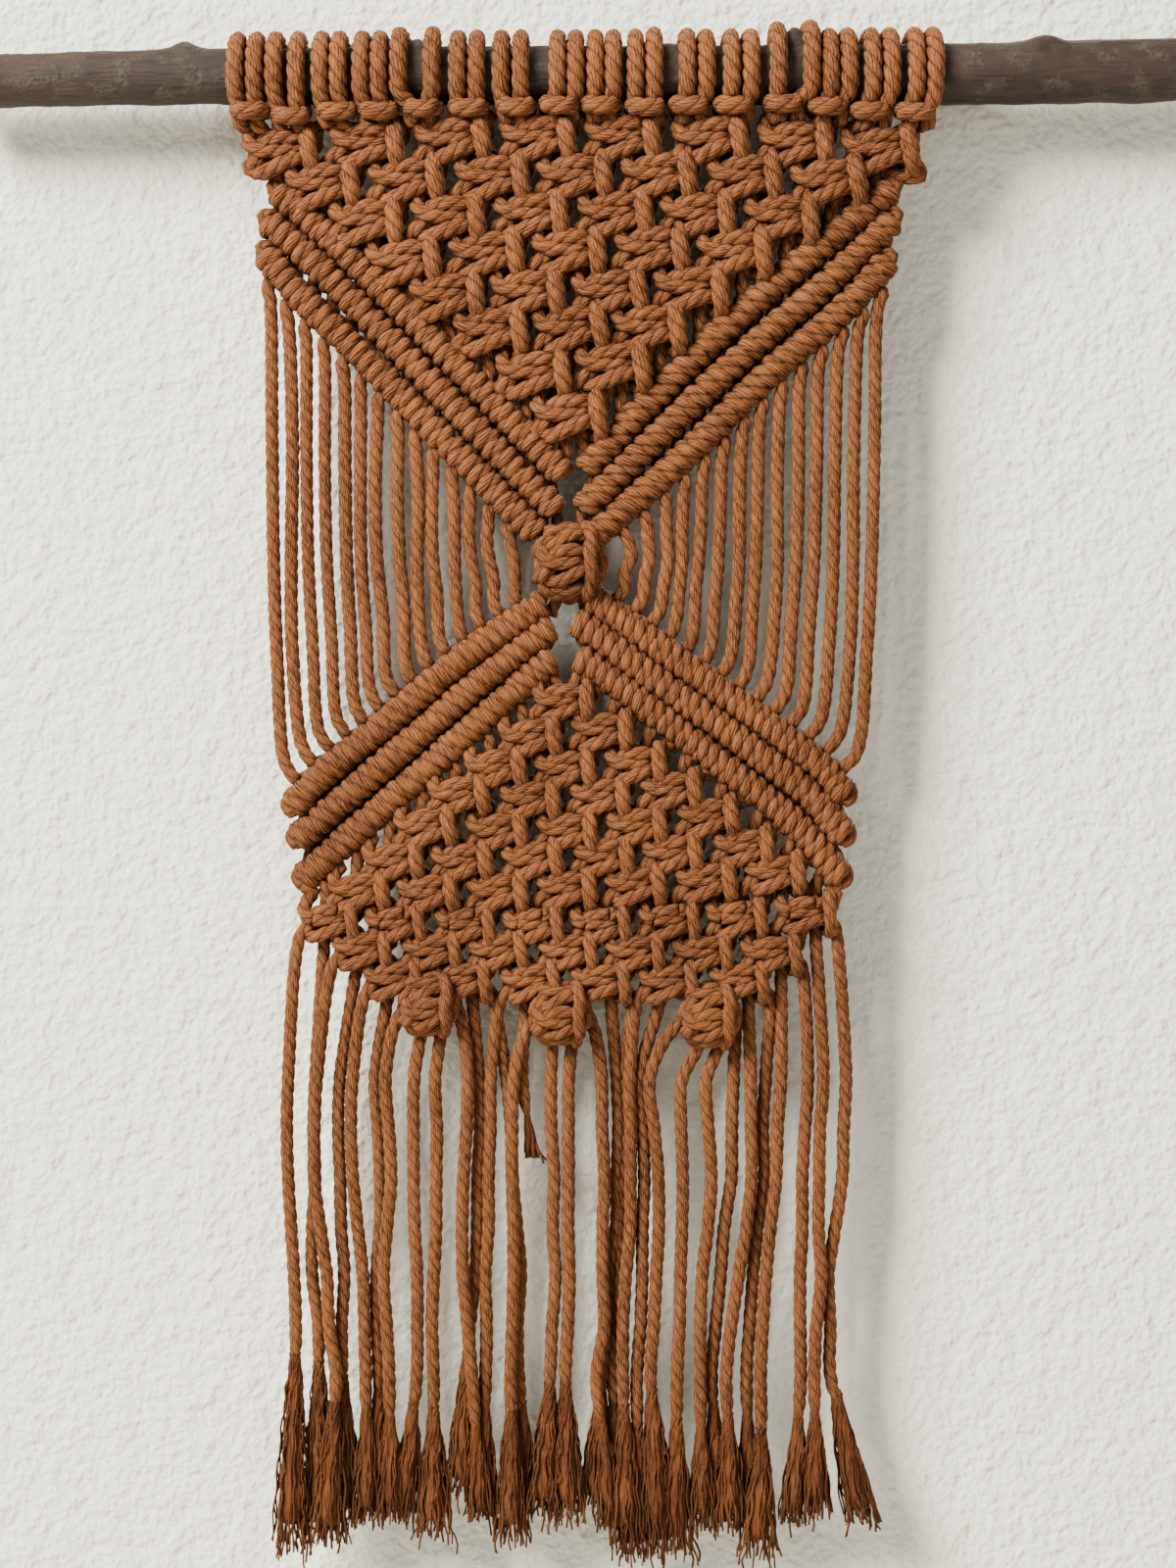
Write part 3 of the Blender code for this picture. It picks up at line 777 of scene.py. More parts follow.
@dataclass
class Crowd:
    """A block of small cells that shows where cords lie close together.

    From every vertex, rays look out past the surface for cells that a cord
    fills. A crevice is where most of them find one, and there the cords'
    base colour gets painted shade.
    """

    low: Point = (-132.0, -32.0, -532.0)
    high: Point = (132.0, 32.0, 32.0)
    cell: float = 1.0
    slack: float = 0.35
    lift: float = 0.7
    rays: int = 22
    grazing: float = 0.1
    steps: tuple[float, ...] = (0.6, 1.4, 2.4, 3.6, 5.0, 7.0, 9.5)
    full: np.ndarray = field(init=False)
    pieces: list[bpy.types.Object] = field(default_factory=list)

    def __post_init__(self) -> None:
        """Empties the cells."""
        size = (np.array(self.high) - self.low) / self.cell
        self.full = np.zeros(size.astype(int) + 2, bool)

    def _cells(self, points: np.ndarray) -> np.ndarray:
        """Returns the flat number of the cell that each point is in."""
        spots = (points - np.array(self.low, points.dtype)) / self.cell
        shape = self.full.shape
        spots = np.clip(spots.astype(np.int32), 0, np.array(shape, np.int32) - 1)
        return (spots[..., 0] * shape[1] + spots[..., 1]) * shape[2] + spots[..., 2]

    def mark(self, course: np.ndarray, radii: np.ndarray) -> None:
        """Fills the cells that a cord takes up.

        Args:
            course: The cord's points, not much over a millimetre apart.
            radii: Its radius at each.
        """
        reach = int(math.ceil(radii.max() / self.cell))
        hops = np.stack(
            np.meshgrid(*[np.arange(-reach, reach + 1) * self.cell] * 3), axis=-1
        ).reshape(-1, 3)
        far = np.linalg.norm(hops, axis=1)
        inside = far[None, :] <= radii[:, None] - self.slack * self.cell
        spots = (course[:, None, :] + hops[None, :, :])[inside]
        self.full.reshape(-1)[self._cells(spots)] = True

    def _ways(self) -> np.ndarray:
        """Returns the rays' directions, spread evenly over a ball."""
        index = np.arange(self.rays) + 0.5
        height = 1.0 - 2.0 * index / self.rays
        turn = index * math.pi * (3.0 - math.sqrt(5.0))
        flat = np.sqrt(1.0 - height**2)
        return np.column_stack(
            (flat * np.cos(turn), flat * np.sin(turn), height)
        ).astype(np.float32)

    def _shade(self, mesh: bpy.types.Mesh) -> None:
        """Gives a mesh its painted shade attribute, 0 in the open to 1 deep in a
        crevice.

        Args:
            mesh: The piece's mesh.
        """
        block = self.full.reshape(-1)
        count = len(mesh.vertices)
        spots = np.empty(count * 3, np.float32)
        mesh.vertices.foreach_get("co", spots)
        faces = np.empty(count * 3, np.float32)
        mesh.vertices.foreach_get("normal", faces)
        faces = faces.reshape(-1, 3)
        spots = spots.reshape(-1, 3) / MM + faces * self.lift
        shut, whole = np.zeros(count, np.float32), np.zeros(count, np.float32)
        for way in self._ways():
            share = np.clip(faces @ way, 0.0, 1.0)
            open_to = np.flatnonzero(share > self.grazing)
            hit = np.zeros(len(open_to), bool)
            for step in self.steps:
                hit |= block[self._cells(spots[open_to] + way * step)]
            shut[open_to] += share[open_to] * hit
            whole[open_to] += share[open_to]
        layer = mesh.attributes.new(CREVICE_SHADE, "FLOAT", "POINT")
        layer.data.foreach_set("value", shut / np.maximum(whole, 0.001))

    def shade(self) -> None:
        """Works out the painted crevice shade of every piece of cord."""
        for piece in self.pieces:
            self._shade(piece.data)
        LOG.info("crevices found in %d pieces", len(self.pieces))


@dataclass
class Run:
    """One cord's course from end to end, and how its width changes on the way."""

    points: list[Point]
    width: float = 1.0
    start_turn: float = 0.0
    taper: float = 0.0
    swell: float = 0.0
    shape: tuple[float, ...] = ()

    def widths(self, course: np.ndarray, far: np.ndarray) -> np.ndarray:
        """Finds the cord's width along its course.

        Args:
            course: The course's even points.
            far: How far along each one is.

        Returns:
            The width at each point, 1 for a plain cord.
        """
        widths = np.full(len(course), self.width)
        if self.swell:
            proud = np.clip((-course[:, 1] - PROUD_FROM) / PROUD_OVER, 0.0, 1.0)
            widths = widths * (1.0 + self.swell * proud)
        if self.shape:
            stops = np.linspace(0.0, far[-1], len(self.shape))
            widths = widths * np.interp(far, stops, self.shape)
        if self.taper:
            left = np.clip((far[-1] - far) / self.taper, 0.0, 1.0)
            widths = widths * (0.25 + 0.75 * np.sqrt(left))
        return widths


@dataclass(frozen=True)
class CordLay:
    """How a cord is laid up: its width, its plies and how far one turn goes."""

    crowd: Crowd
    width: float = 4.8
    lay: float = 14.5
    plies: int = 3
    points: int = 4
    groove: float = 0.79
    step: float = 1.45

    @property
    def sides(self) -> int:
        """Returns how many sides the cord has."""
        return self.plies * self.points

    def profile(self) -> bpy.types.Object:
        """Makes the outline of the cord's section.

        Returns:
            The outline's curve object.
        """
        outline = bpy.data.curves.new("section", "CURVE")
        outline.dimensions = "2D"
        line = outline.splines.new("POLY")
        line.points.add(self.sides - 1)
        for index, point in enumerate(line.points):
            turn = index / self.sides
            crown = abs(math.sin(turn * self.plies * math.pi)) ** 0.7
            reach = self.width * 0.5 * (self.groove + (1.0 - self.groove) * crown)
            angle = TAU * turn
            point.co = (
                reach * math.cos(angle) * MM,
                reach * math.sin(angle) * MM,
                0.0,
                1.0,
            )
        line.use_cyclic_u = True
        section = bpy.data.objects.new("section", outline)
        bpy.context.scene.collection.objects.link(section)
        return section

    def _draw(self, path: bpy.types.Curve, run: Run) -> tuple[int, float]:
        """Adds one cord to a curve.

        Args:
            path: The curve.
            run: The cord's course.

        Returns:
            The number of its points and its length.
        """
        course = even_course(run.points, self.step)
        far = distances(course)
        line = path.splines.new("POLY")
        line.points.add(len(course) - 1)
        placed = np.ones((len(course), 4))
        placed[:, :3] = course * MM
        line.points.foreach_set("co", placed.ravel())
        turns = run.start_turn + far / self.lay
        line.points.foreach_set("tilt", -TAU * turns)
        widths = run.widths(course, far)
        line.points.foreach_set("radius", widths)
        self.crowd.mark(course, 0.5 * self.width * widths)
        return len(course), far[-1]

    def lay_up(
        self,
        name: str,
        runs: list[Run],
        finish: bpy.types.Material,
        part: Part = Part.MACRAME,
    ) -> None:
        """Lays cords along their courses, joined in one piece.

        Args:
            name: The piece's name.
            runs: The courses.
            finish: The material.
            part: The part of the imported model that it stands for.
        """
        section = self.profile()
        path = bpy.data.curves.new(name, "CURVE")
        path.dimensions = "3D"
        path.bevel_mode = "OBJECT"
        path.bevel_object = section
        path.use_fill_caps = True
        path.twist_mode = "MINIMUM"
        lengths = [self._draw(path, run) for run in runs]
        holder = bpy.data.objects.new(name, path)
        bpy.context.scene.collection.objects.link(holder)
        graph = bpy.context.evaluated_depsgraph_get()
        mesh = bpy.data.meshes.new_from_object(holder.evaluated_get(graph))
        bpy.data.objects.remove(holder)
        bpy.data.objects.remove(section)
        self._measure(mesh, lengths)
        piece = place_mesh(name, mesh, finish)
        self.crowd.pieces.append(piece)
        carry(piece, part)

    def _measure(self, mesh: bpy.types.Mesh, lengths: list[tuple[int, float]]) -> None:
        """Turns the map's length along each cord into millimetres.

        Args:
            mesh: The cords, whose sides follow their caps.
            lengths: Each cord's points and length.
        """
        layer = mesh.uv_layers[0].data
        flat = np.empty(len(layer) * 2, np.float32)
        layer.foreach_get("uv", flat)
        quads = [(count - 1) * self.sides for count, _ in lengths]
        start = len(layer) - 4 * sum(quads)
        for amount, (_, length) in zip(quads, lengths):
            stop = start + 4 * amount
            flat[2 * start : 2 * stop : 2] *= length
            start = stop
        layer.foreach_set("uv", flat)
        mesh.uv_layers[0].name = "UVMap"


def place_mesh(
    name: str, mesh: bpy.types.Mesh, *finishes: bpy.types.Material
) -> bpy.types.Object:
    """Closes a mesh, turns its faces outwards and puts it in the scene.

    Args:
        name: The piece's name.
        mesh: Its mesh.
        finishes: Its materials.

    Returns:
        The piece.
    """
    work = bmesh.new()
    work.from_mesh(mesh)
    bmesh.ops.remove_doubles(work, verts=work.verts, dist=1e-7)
    bmesh.ops.recalc_face_normals(work, faces=work.faces)
    for face in work.faces:
        face.smooth = True
    work.to_mesh(mesh)
    work.free()
    mesh.name = name
    mesh.materials.clear()
    for finish in finishes:
        mesh.materials.append(finish)
    piece = bpy.data.objects.new(name, mesh)
    bpy.context.scene.collection.objects.link(piece)
    return piece


def carry(piece: bpy.types.Object, part: Part) -> None:
    """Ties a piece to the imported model.

    Args:
        piece: The piece.
        part: The part that it stands for.
    """
    node, slot = part.value
    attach(piece, ROOT)
    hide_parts(node)
    piece.data.calc_loop_triangles()
    LOG.info("%s: %d triangles", piece.name, len(piece.data.loop_triangles))


# --------------------------------------------------------------------------
# The branch
# --------------------------------------------------------------------------


class Nub(NamedTuple):
    """A swelling or a hollow on the branch."""

    x: float
    turn: float
    long: float
    wide: float
    rise: float


@dataclass
class Branch:
    """A short length of rough branch with sawn ends."""

    half_length: float = 220.0
    left_radius: float = 8.9
    right_radius: float = 10.6
    end_rise: float = 2.6
    bevel: float = 1.2
    bevel_drop: float = 0.5
    rim: float = 0.12
    sides: int = 56
    stations: int = 230
    nubs: tuple[Nub, ...] = (
        Nub(-137.0, 0.25, 4.5, 0.10, 3.0),
        Nub(-176.0, 0.53, 4.0, 0.07, -1.2),
        Nub(-176.0, 0.53, 7.5, 0.12, 1.0),
        Nub(-58.0, 0.29, 3.4, 0.08, 3.0),
        Nub(70.0, 0.28, 4.6, 0.09, 6.2),
        Nub(26.7, 0.36, 4.5, 0.08, 1.2),
        Nub(155.0, 0.33, 5.5, 0.10, 2.4),
        Nub(155.5, 0.40, 2.0, 0.04, -1.4),
        Nub(186.0, 0.70, 8.0, 0.12, 1.2),
        Nub(-110.0, 0.80, 9.0, 0.10, 0.9),
        Nub(118.0, 0.95, 8.0, 0.10, 1.3),
        Nub(-20.0, 0.90, 6.0, 0.08, 1.4),
    )

    def axis_z(self, x: float) -> float:
        """Returns the height of the branch's axis at x."""
        return self.end_rise * (x / self.half_length) ** 3

    def radius(self, x: float) -> float:
        """Returns the plain radius at x."""
        share = (x + self.half_length) / (2.0 * self.half_length)
        return self.left_radius + (self.right_radius - self.left_radius) * share

    def _bark(self, x: float, turn: float) -> float:
        """Finds the height of the bark over the plain radius.

        Args:
            x: The place along the branch.
            turn: The place around it, 0 to 1 from the back over the top.

        Returns:
            The height in millimetres.
        """
        ring = Vector((math.cos(TAU * turn), math.sin(TAU * turn), 0.0))
        broad = noise.noise(Vector((x * 0.022, ring.x, ring.y)) * 1.3)
        lumps = noise.noise(Vector((x * 0.09 + 7.0, ring.x * 1.6, ring.y * 1.6)))
        grain = noise.noise(Vector((x * 0.10 + 31.0, ring.x * 9.0, ring.y * 9.0)))
        pits = noise.noise(Vector((x * 0.45 + 57.0, ring.x * 5.0, ring.y * 5.0)))
        rise = 0.35 * broad + 0.42 * lumps + 0.26 * grain + 0.16 * pits
        for nub in self.nubs:
            off = (turn - nub.turn + 0.5) % 1.0 - 0.5
            reach = ((x - nub.x) / nub.long) ** 2 + (off / nub.wide) ** 2
            rise += nub.rise * math.exp(-reach)
        return rise

    def _tube(self, work: bmesh.types.BMesh) -> None:
        """Draws a ring of one millimetre's radius along x and closes its ends.

        Args:
            work: Where the faces go.
        """
        first = bmesh.ops.create_circle(work, segments=self.sides, radius=MM)["verts"]
        bmesh.ops.rotate(work, verts=first, matrix=Matrix.Rotation(math.pi / 2, 3, "Y"))
        left_end = Vector((-self.half_length * MM, 0.0, 0.0))
        bmesh.ops.translate(work, verts=first, vec=left_end)
        edges = list(work.edges)
        hop = Vector((2.0 * self.half_length * MM / self.stations, 0.0, 0.0))
        for _ in range(self.stations):
            grown = bmesh.ops.extrude_edge_only(work, edges=edges)["geom"]
            ring = [part for part in grown if isinstance(part, bmesh.types.BMVert)]
            edges = [part for part in grown if isinstance(part, bmesh.types.BMEdge)]
            edges = [edge for edge in edges if all(v in ring for v in edge.verts)]
            bmesh.ops.translate(work, verts=ring, vec=hop)
        rims = [edge for edge in work.edges if edge.is_boundary]
        ends = bmesh.ops.holes_fill(work, edges=rims, sides=0)["faces"]
        for end in ends:
            end.material_index = 1
        bmesh.ops.inset_individual(work, faces=ends, thickness=self.rim * MM)

    def _grown(self, spot: Vector) -> Vector:
        """Moves a point of the thin tube out to the bark or the sawn end.

        Args:
            spot: The point, in metres.

        Returns:
            Its place on the branch, in metres.
        """
        x = spot.x / MM
        turn = math.atan2(spot.z, spot.y) / TAU % 1.0
        inner = math.hypot(spot.y, spot.z) / MM
        edge = max(0.0, 1.0 - (self.half_length - abs(x)) / self.bevel)
        reach = self.radius(x) + self._bark(x, turn) - self.bevel_drop * edge
        reach *= min(inner, 1.0)
        y = reach * math.cos(TAU * turn)
        z = reach * math.sin(TAU * turn) + self.axis_z(x)
        return Vector((x, y, z)) * MM

    def build(self, bark: bpy.types.Material, sawn: bpy.types.Material) -> None:
        """Builds the branch by drawing one ring along its axis.

        Args:
            bark: The bark.
            sawn: The end grain.
        """
        work = bmesh.new()
        self._tube(work)
        for vert in work.verts:
            vert.co = self._grown(vert.co)
        mesh = bpy.data.meshes.new("branch_bark")
        work.to_mesh(mesh)
        work.free()
        piece = place_mesh("branch_bark", mesh, bark, sawn)
        for polygon in piece.data.polygons:
            polygon.use_smooth = polygon.material_index == 0
        carry(piece, Part.BRANCH)


# --------------------------------------------------------------------------
# Knots
# --------------------------------------------------------------------------


def side_of(strand: int) -> tuple[Hand, int]:
    """Returns which side a strand is on, and its place from that side's edge."""
    if strand < STRANDS // 2:
        return Hand.LEFT, strand
    return Hand.RIGHT, STRANDS - 1 - strand


def halves(name: str, parts: list[Any]) -> list[tuple[str, list[Any]]]:
    """Returns the left and the right half of a list, each with its name."""
    half = len(parts) // 2
    return [(f"{name}_left", parts[:half]), (f"{name}_right", parts[half:])]


@dataclass
class LarksHeads:
    """Sixteen folded cords mounted on the branch, each with its bar in front."""

    branch: Branch
    lay: CordLay
    clearance: float = 0.5
    bar_y: float = -12.0
    leg_y: float = -7.2
    half_bar: float = 3.2
    half_legs: float = 2.9
    nub_near: float = 9.0
    nub_reach: float = 6.0
    round_branch: tuple[int, ...] = (215, 190, 160, 130, 100, 70, 40, 10, -20, -50)
    width: float = 1.2
    swell: float = 0.13
    turn_hop: float = 0.37

    def _leg_x(self, place: HeadPlace, side: float) -> float:
        """Returns the x of a head's left (-1) or right (1) leg."""
        return 0.5 * (place.loops_x + place.bar_x) + side * self.half_legs

    def leg_top(self, strand: int) -> Point:
        """Returns where a strand passes behind its head's bar."""
        place = HEADS[strand // 2]
        side = 1.0 if strand % 2 else -1.0
        return (self._leg_x(place, side), self.leg_y, place.bar_z - 0.4)

    def _lift(self, x: float) -> float:
        """Finds how far the nubs in front and on top lift a cord.

        Args:
            x: The cord's place along the branch.

        Returns:
            The height in millimetres.
        """
        lift = 0.0
        for nub in self.branch.nubs:
            if abs(nub.x - x) < self.nub_near and nub.turn < 0.5:
                off = (x - nub.x) / self.nub_reach
                lift = max(lift, nub.rise * math.exp(-(off**2)))
        return lift

    def _half(self, place: HeadPlace, side: float) -> list[Point]:
        """Draws half of a head, from the end of its leg to the bar's middle.

        Args:
            place: The head's place.
            side: -1 for the left half, 1 for the right half.

        Returns:
            The course.
        """
        loop = place.loops_x + side * place.half_gap
        leg = self._leg_x(place, side)
        back = place.bar_x + side * (self.half_bar - 0.4)
        reach = self.branch.radius(loop) + 0.5 * self.lay.width + self.clearance
        axis = self.branch.axis_z(loop)
        lift = self._lift(loop)
        course: list[Point] = [
            (leg, self.leg_y, place.bar_z - 2.0),
            (leg, self.leg_y - 0.3, place.bar_z + 1.5),
        ]
        for degrees in self.round_branch:
            angle = math.radians(degrees)
            rise = lift * max(0.0, math.sin(angle))
            # From the top of the branch on, the cord comes in behind the bar.
            blend = min(1.0, max(0.0, (degrees - self.round_branch[-1]) / 150))
            course.append(
                (
                    back + (loop - back) * blend,
                    math.cos(angle) * (reach + rise),
                    math.sin(angle) * (reach + rise) + axis,
                )
            )
        course += [
            (place.bar_x + side * (self.half_bar + 0.9), -2.0, -12.6 + axis),
            (place.bar_x + side * (self.half_bar + 1.1), -7.6, place.bar_z + 1.5),
            (place.bar_x + side * self.half_bar, self.bar_y + 1.0, place.bar_z + 0.5),
            (place.bar_x + side * 0.5 * self.half_bar, self.bar_y, place.bar_z),
        ]
        return course

    def build(self, finish: bpy.types.Material) -> None:
        """Builds the sixteen heads.

        Args:
            finish: The cotton.
        """
        runs = []
        for index, place in enumerate(HEADS):
            left = self._half(place, -1.0)
            right = self._half(place, 1.0)
            middle = (place.bar_x, self.bar_y - 0.2, place.bar_z)
            course = left + [middle] + right[::-1]
            runs.append(
                Run(course, self.width, self.turn_hop * index, swell=self.swell)
            )
        self.lay.lay_up("larks_heads", runs, finish)


@dataclass(frozen=True)
class SquareKnot:
    """The courses of a square knot's four cords, with its bump at the right.

    They run from the top to the bottom: x to the right, then depth towards
    the wall, then height. The factors fit the pattern to a row's spacing.
    """

    across: float = 1.0
    deep: float = 1.0
    high: float = 1.0
    left_cord: tuple[Point, ...] = (
        (-8.6, -0.4, 6.9),
        (-9.6, -2.6, 4.4),
        (-8.9, -4.2, 1.9),
        (-6.2, -4.7, 0.5),
        (-2.0, -4.6, 0.3),
        (2.4, -3.8, 0.7),
        (5.8, -1.0, 1.0),
        (8.6, 1.2, 2.4),
        (8.6, 0.4, 5.2),
        (6.9, -3.2, 6.3),
        (6.6, -6.2, 3.6),
        (7.1, -7.0, 0.0),
        (7.6, -6.2, -3.4),
        (7.8, -3.0, -6.0),
        (5.2, 1.6, -5.2),
        (0.0, 3.2, -2.6),
        (-4.2, 0.6, -1.0),
        (-7.2, -2.6, -2.0),
        (-10.0, -3.2, -3.9),
        (-11.6, -1.8, -6.4),
    )
    right_cord: tuple[Point, ...] = (
        (9.6, -0.2, 7.0),
        (8.2, -0.9, 5.0),
        (5.2, -3.2, 3.6),
        (1.6, -5.1, 3.9),
        (-2.2, -5.2, 3.8),
        (-5.2, -3.8, 2.8),
        (-7.4, -0.8, 1.2),
        (-8.6, 0.6, -1.6),
        (-8.2, -1.2, -4.4),
        (-6.0, -3.9, -5.6),
        (-2.8, -5.2, -4.4),
        (0.8, -5.2, -2.8),
        (4.0, -4.2, -1.7),
        (6.8, -1.4, -2.2),
        (9.4, 0.6, -4.4),
        (10.0, -0.2, -7.2),
    )
    core_cord: tuple[Point, ...] = ((2.2, 0.6, 3.0), (2.4, 0.6, -2.0))

    def courses(self) -> list[list[Point]]:
        """Returns the courses of the left, the two core and the right cords."""
        mirrored = tuple((-x, y, z) for x, y, z in self.core_cord)
        return [
            [(x * self.across, y * self.deep, z * self.high) for x, y, z in cord]
            for cord in (self.left_cord, mirrored, self.core_cord, self.right_cord)
        ]


@dataclass
class KnotRows:
    """Rows of alternating square knots and the courses of their strands."""

    knot: SquareKnot
    seed: int
    jitter: float = 0.35
    lean: float = 3.0
    unevenness: float = 0.3
    courses: dict[int, list[Point]] = field(default_factory=dict)

    def place(self, row: KnotRow, index: int) -> tuple[float, float]:
        """Finds the middle of a knot.

        Args:
            row: The knot's row.
            index: Its place in the row.

        Returns:
            Its x and z.
        """
        share = index / (row.knots - 1) if row.knots > 1 else 0.5
        x = row.left_x + (row.right_x - row.left_x) * share
        ends = row.left_z + (row.right_z - row.left_z) * share
        sag = row.middle_z - 0.5 * (row.left_z + row.right_z)
        return x, ends + sag * 4.0 * share * (1.0 - share)

    def tie(self, rows: tuple[KnotRow, ...]) -> None:
        """Adds each knot's courses to its four strands, row by row.

        Args:
            rows: The rows, from the top down.
        """
        dice = random.Random(self.seed)
        pattern = self.knot.courses()
        for row in rows:
            for index in range(row.knots):
                x, z = self.place(row, index)
                x += dice.uniform(-self.jitter, self.jitter)
                z += dice.uniform(-self.jitter, self.jitter)
                lean = math.radians(dice.uniform(-self.lean, self.lean))
                depth = dice.uniform(-self.unevenness, self.unevenness)
                for cord, course in enumerate(pattern):
                    strand = row.first_strand + 4 * index + cord
                    spots = self.courses.setdefault(strand, [])
                    if index == 0 and cord == 0:
                        # The strand at the row's left end turns down sooner.
                        course = course[:-1]
                    for px, py, pz in course:
                        spots.append(
                            (
                                x + px * math.cos(lean) - pz * math.sin(lean),
                                NET_Y + py + depth,
                                z + pz * math.cos(lean) + px * math.sin(lean),
                            )
                        )


@dataclass
class HitchBar:
    """One bar of fifteen double half hitches over a holding cord.

    The rows of turns say how far along, down and back a hitch's cord is, in
    shares of its reach. Those of holding are what spot() takes.
    """

    place: BarPlace
    width: float
    thickness: float = 10.9
    slant: float = 0.5
    slip: float = 0.25
    loose: tuple[float, float] = (-0.12, 0.2)
    turns: tuple[Point, ...] = (
        (-0.3, -1.9, 1.0),
        (-0.8, -0.4, 1.4),
        (-1.0, 0.75, 0.75),
        (-1.0, 1.05, 0.0),
        (-1.0, 0.72, -0.72),
        (-1.0, 0.0, -1.05),
        (-1.0, -0.72, -0.72),
        (-0.9, -1.05, 0.0),
        (-0.3, -0.72, 0.75),
        (0.6, 0.35, 1.0),
        (1.0, 1.05, 0.25),
        (1.0, 0.75, -0.7),
        (1.0, 0.0, -1.05),
        (1.0, -0.72, -0.72),
        (1.0, -1.05, 0.0),
        (0.8, -0.7, 0.75),
        (0.2, 0.4, 1.5),
        (0.0, 1.3, 1.0),
    )
    holding: tuple[tuple[float, float, float, float], ...] = (
        (0.0, 1.5, -4.2, 2.6),
        (0.0, -1.6, -2.6, 0.8),
        (0.0, -2.6, 0.0, -0.2),
        (0.0, -0.6, 1.0, 0.0),
        (0.06, 0.0, 0.0, 0.0),
        (0.25, 0.0, 0.0, 0.0),
        (0.5, 0.0, 0.0, 0.0),
        (0.75, 0.0, 0.0, 0.0),
        (1.0, -0.8, 0.0, 0.0),
    )
    axis: np.ndarray = field(init=False)
    far: np.ndarray = field(init=False)

    def __post_init__(self) -> None:
        """Draws the bar's axis through its five places."""
        spots = zip(self.place[0::2], self.place[1::2])
        self.axis = even_course([(x, NET_Y - 0.5, z) for x, z in spots], 1.0)
        self.far = distances(self.axis)

    @property
    def length(self) -> float:
        """Returns the bar's length."""
        return float(self.far[-1])

    def share_of(self, hitch: float) -> float:
        """Returns where a hitch's middle is along the bar."""
        return (hitch + 0.5) / HITCHES

    def _on_axis(self, far: float) -> Vector:
        """Returns the point of the axis at a distance from its outer end."""
        return Vector([np.interp(far, self.far, self.axis[:, k]) for k in range(3)])

    def spot(self, share: float, along: float, down: float, depth: float) -> Point:
        """Places a point given in the bar's own directions.

        Args:
            share: The place along the bar, 0 at its outer end.
            along: The distance inwards from there.
            down: The distance below the bar's axis.
            depth: The distance towards the wall.

        Returns:
            The point.
        """
        far = share * self.length
        before = self._on_axis(max(0.0, far - 5.0))
        after = self._on_axis(min(self.length, far + 5.0))
        inwards = (after - before).normalized()
        below = Vector((inwards.z, 0.0, -inwards.x))
        if below.z > 0.0:
            below.negate()
        found = self._on_axis(far) + inwards * along + below * down
        return (found.x, found.y + depth, found.z)

    def hitch(self, index: int, dice: random.Random, lay: CordLay) -> list[Point]:
        """Draws one double half hitch.

        Args:
            index: Its place from the bar's outer end.
            dice: What small differences come from.
            lay: The cord.

        Returns:
            The course of its cord.
        """
        share = self.share_of(index)
        half = 0.25 * self.length / HITCHES
        reach = 0.5 * (self.thickness - self.width * lay.width)
        reach += dice.uniform(*self.loose)
        slip = dice.uniform(-self.slip, self.slip)
        return [
            self.spot(share, a * half + slip - self.slant * d, d * reach, y * reach)
            for a, d, y in self.turns
        ]

    def core(self) -> list[Point]:
        """Returns the course of the holding cord."""
        return [self.spot(*mark) for mark in self.holding]


@dataclass
class Bars:
    """Twelve hitch bars that make the X, with the strands between them."""

    lay: CordLay
    upper_width: float = 1.34
    lower_width: float = 1.24
    core_width: float = 0.9
    seed: int = 40
    upper: dict[Hand, list[HitchBar]] = field(init=False)
    lower: dict[Hand, list[HitchBar]] = field(init=False)

    def __post_init__(self) -> None:
        """Draws the twelve axes."""
        self.upper = self._axes(UPPER_BARS, self.upper_width)
        self.lower = self._axes(LOWER_BARS, self.lower_width)

    def _axes(
        self, table: dict[Hand, tuple[BarPlace, ...]], width: float
    ) -> dict[Hand, list[HitchBar]]:
        """Draws the axes of three bars at each side.

        Args:
            table: The bars' places, from the top down.
            width: How wide their cord is, 1 for a plain cord.

        Returns:
            The bars of each side.
        """
        return {
            hand: [HitchBar(place, width) for place in places]
            for hand, places in table.items()
        }

    def _link(self, first: HitchBar, second: HitchBar, index: int) -> list[Point]:
        """Draws a strand that passes from one bar to the next behind them.

        Args:
            first: The bar above.
            second: The bar below.
            index: The strand's place from the outer end.

        Returns:
            Its course.
        """
        start, stop = first.share_of(index), second.share_of(index)
        return [
            first.spot(start, 0.0, 0.5, 4.2),
            first.spot(start, 0.0, 3.0, 4.4),
            second.spot(stop, 0.0, -3.0, 4.4),
            second.spot(stop, 0.0, 0.0, 4.6),
        ]

    def build(self, finish: bpy.types.Material) -> None:
        """Builds each side's bars as one piece.

        Args:
            finish: The cotton.
        """
        groups = (
            ("upper_left_bars", self.upper[Hand.LEFT]),
            ("upper_right_bars", self.upper[Hand.RIGHT]),
            ("lower_left_bars", self.lower[Hand.LEFT]),
            ("lower_right_bars", self.lower[Hand.RIGHT]),
        )
        for number, (name, bars) in enumerate(groups):
            dice = random.Random(self.seed + number)
            runs = []
            for bar in bars:
                runs.append(Run(bar.core(), self.core_width))
                for index in range(HITCHES):
                    course = bar.hitch(index, dice, self.lay)
                    runs.append(Run(course, bar.width, dice.random()))
            for first, second in zip(bars, bars[1:]):
                for index in range(HITCHES):
                    course = self._link(first, second, index)
                    runs.append(Run(course, 1.0, dice.random()))
            self.lay.lay_up(name, runs, finish)


